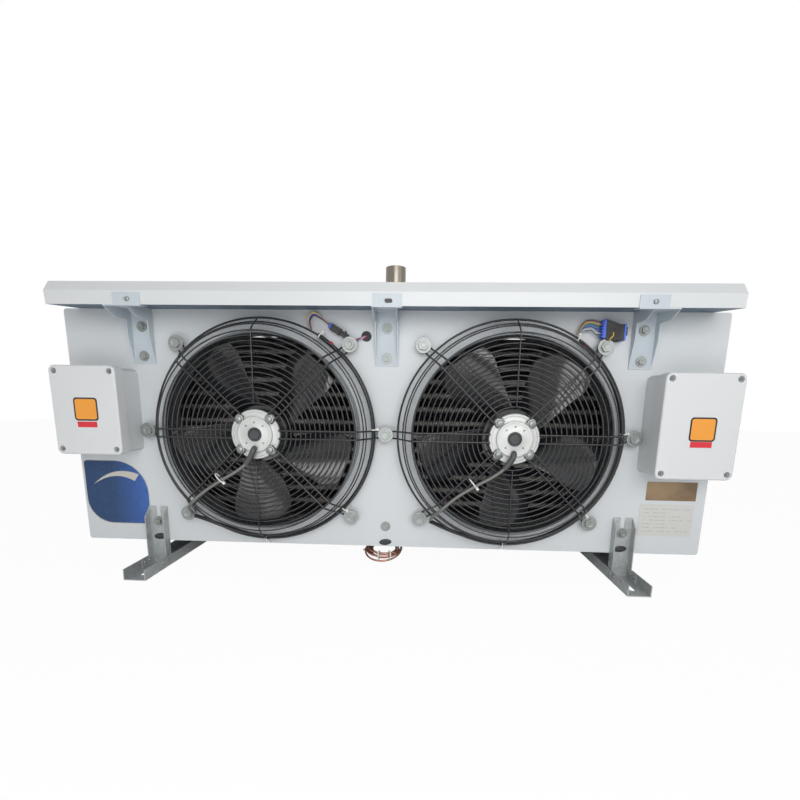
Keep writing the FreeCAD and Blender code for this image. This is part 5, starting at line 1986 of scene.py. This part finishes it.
    def twist_wires(self) -> None:
        """Twisted wires between the slim plug and the grommet."""
        x, z = centre_of(*box_of("latch_connector"))
        x, z = x + 21.0, z - 13.0
        hole_x, hole_z = centre_of(*box_of("wire_grommet"))
        across, up = hole_x - x, hole_z - z
        runs = {}
        for i, colour in enumerate(self.twist_colours):
            points = []
            for share in (k / self.twist_steps for k in range(self.twist_steps + 1)):
                a = math.tau * (share * self.twist_turns + i / len(self.twist_colours))
                points.append((x + across * share, 7 - 5.4 * share + 1.3 * math.cos(a),
                               z + up * share + 1.9 * math.sin(a) - 3.5 * math.sin(math.pi * share)))
            runs[colour] = points
        self.wires("twist_wire", runs)

    def comb_wires(self) -> None:
        """Wires that fan out of the right sleeve into the comb, and the yellow tag under the block."""
        low, high = box_of("block_connector")
        runs = {}
        for i, colour in enumerate(self.comb_colours):
            z, rise = high.z - 5.5 - i * self.comb_spacing, 504.5 - 3.6 * i
            runs[colour] = [(356 + i * 0.8, 14 + i * 0.5, 479.0), (360 + i, 13, 486 + 0.5 * (5 - i)),
                            (368 + i, 11, rise - 1.0), (382 + i * 0.6, 9, rise + 1.5),
                            (low.x - 8, 8, z + 2.4 - 0.6 * i), (low.x + 2, 8, z)]
        self.wires("comb_wire", runs)
        x, front, z = low.x + 14.5, PANEL_Y - low.y + 1.6, low.z - 2.0
        self.wires("tag_wire", {"yellow": [(x + 4.5, front - 1.4, z + 11), (x + 5.0, front, z + 5),
                                           (x - 1, front + 0.6, z), (x - 1.5, front - 1.6, z - 3)]})

    def build(self) -> None:
        """Make the plugs and run the coloured wires."""
        self.grommet()
        self.latch_connector()
        self.block_connector()
        self.loop_wires()
        self.twist_wires()
        self.comb_wires()


# Stage


@dataclass(frozen=True)
class Viewpoint:
    """The camera of the photograph."""

    place: Point = (68.26, -1105.84, 350.06)
    turn: Point = (79.1455, -0.8577, 2.6337)
    lens: float = 20.25
    sensor: float = 36.0
    shift_up: float = 0.11068

    def build(self) -> None:
        """Create the camera and make it the scene's own."""
        data = bpy.data.cameras.new("viewpoint")
        data.lens = self.lens
        data.sensor_width = self.sensor
        data.shift_y = self.shift_up
        camera = linked(bpy.data.objects.new("viewpoint", data))
        camera.location = Vector(self.place) * MM
        camera.rotation_euler = [math.radians(a) for a in self.turn]
        bpy.context.scene.camera = camera


@dataclass(frozen=True)
class Lamp:
    """A soft rectangular lamp that points at the object, with places and sizes in metres."""

    name: str
    place: Point
    size: tuple[float, float]
    power: float
    aim: Point = (0.0, 0.0, 0.3)

    def build(self) -> None:
        """Create the lamp."""
        data = bpy.data.lights.new(self.name, "AREA")
        data.shape = "RECTANGLE"
        data.size, data.size_y = self.size
        data.energy = self.power
        lamp = linked(bpy.data.objects.new(self.name, data))
        lamp.visible_camera = False
        lamp.location = self.place
        way = Vector(self.aim) - Vector(self.place)
        lamp.rotation_euler = way.to_track_quat("-Z", "Y").to_euler()


@dataclass
class Studio:
    """Pale floor, plain soft lamps and a white surround."""

    floor_size: float = 12.0
    floor_colour: Point = (0.86, 0.86, 0.86)
    floor_rough: float = 0.9
    ambient: float = 0.31
    camera_share: float = 0.96
    lamps: tuple[Lamp, ...] = (
        Lamp("near_lamp", (0.3, -1.75, 0.85), (1.3, 0.8), 13.0),
        Lamp("fill_lamp", (2.2, -1.6, 1.1), (1.4, 1.4), 5.0),
        Lamp("top_lamp", (0.2, -0.3, 3.0), (2.4, 1.6), 10.5),
        Lamp("bounce_lamp", (-0.1, -0.95, 0.03), (1.3, 0.5), 3.4),
    )

    def floor(self) -> None:
        """A pale floor that is white to the camera and keeps the object's shadow."""
        only()
        bpy.ops.mesh.primitive_plane_add(size=self.floor_size)
        ground = settled("floor")
        sheet = Sheet("floor_paper")
        sheet.feed("Base Color", sheet.ramp(sheet.noise(3.0), dict.fromkeys((0.0, 1.0), self.floor_colour)))
        sheet.set(Roughness=self.floor_rough)
        glow = sheet.node("ShaderNodeEmission", Strength=1.0)
        seen = sheet.node("ShaderNodeLightPath").outputs["Is Camera Ray"]
        share = sheet.maths("MULTIPLY", seen, self.camera_share)
        mix = sheet.node("ShaderNodeMixShader", {0: share, 1: sheet.shader.outputs[0], 2: glow.outputs[0]})
        out = sheet.tree.nodes["Material Output"]
        sheet.tree.links.new(mix.outputs[0], out.inputs["Surface"])
        ground.data.materials.append(sheet.material)

    def surround(self) -> None:
        """White to the camera and in reflections, a plain level of light elsewhere."""
        world = bpy.data.worlds.new("surround")
        bpy.context.scene.world = world
        world.use_nodes = True
        world.node_tree.nodes.clear()
        tree = Tree(world.node_tree)
        rays = tree.node("ShaderNodeLightPath").outputs
        seen = tree.maths("MAXIMUM", rays["Is Camera Ray"], rays["Is Transmission Ray"])
        seen = tree.maths("MAXIMUM", seen, rays["Is Glossy Ray"])
        plain = tree.node("ShaderNodeBackground", Color=WHITE, Strength=self.ambient)
        white = tree.node("ShaderNodeBackground", Color=WHITE, Strength=1.0)
        mix = tree.node("ShaderNodeMixShader", {0: seen, 1: plain.outputs[0], 2: white.outputs[0]})
        tree.node("ShaderNodeOutputWorld", {"Surface": mix.outputs[0]})

    def build(self) -> None:
        """Set the floor, the lamps, the surround and the view."""
        self.floor()
        self.surround()
        for lamp in self.lamps:
            lamp.build()
        bpy.context.scene.view_settings.view_transform = "Standard"


# Where the two fans differ: the first blade's angle, the sleeve's end and the lift of the lug they share.
BLADE_START = {Side.LEFT: 40.0, Side.RIGHT: 42.0}
SLEEVE_END = {Side.LEFT: 420.0, Side.RIGHT: 416.0}
SHARED_LIFT = {Side.LEFT: 0.0, Side.RIGHT: 3.5}


def main() -> None:
    """Build the camera, the stage and every sub-assembly in order."""
    logging.basicConfig(level=logging.INFO, format="%(message)s")
    Viewpoint().build()
    Studio().build()
    groups: list[SubAssembly] = [
        FrameDressing(), Casing(), Feet(), Fasteners(), CoilBlock(), CopperCoil(), ElectricalBoxes(),
        Plates(), TrayFittings(), Plugs(),
    ]
    for side in Side:
        groups += [FanUnit(side, BLADE_START[side]), WireGuard(side, shared_lift=SHARED_LIFT[side]),
                   FanWiring(side, last=SLEEVE_END[side])]
    for group in groups:
        group.build()
        group.dress()


if __name__ == "__main__":
    main()
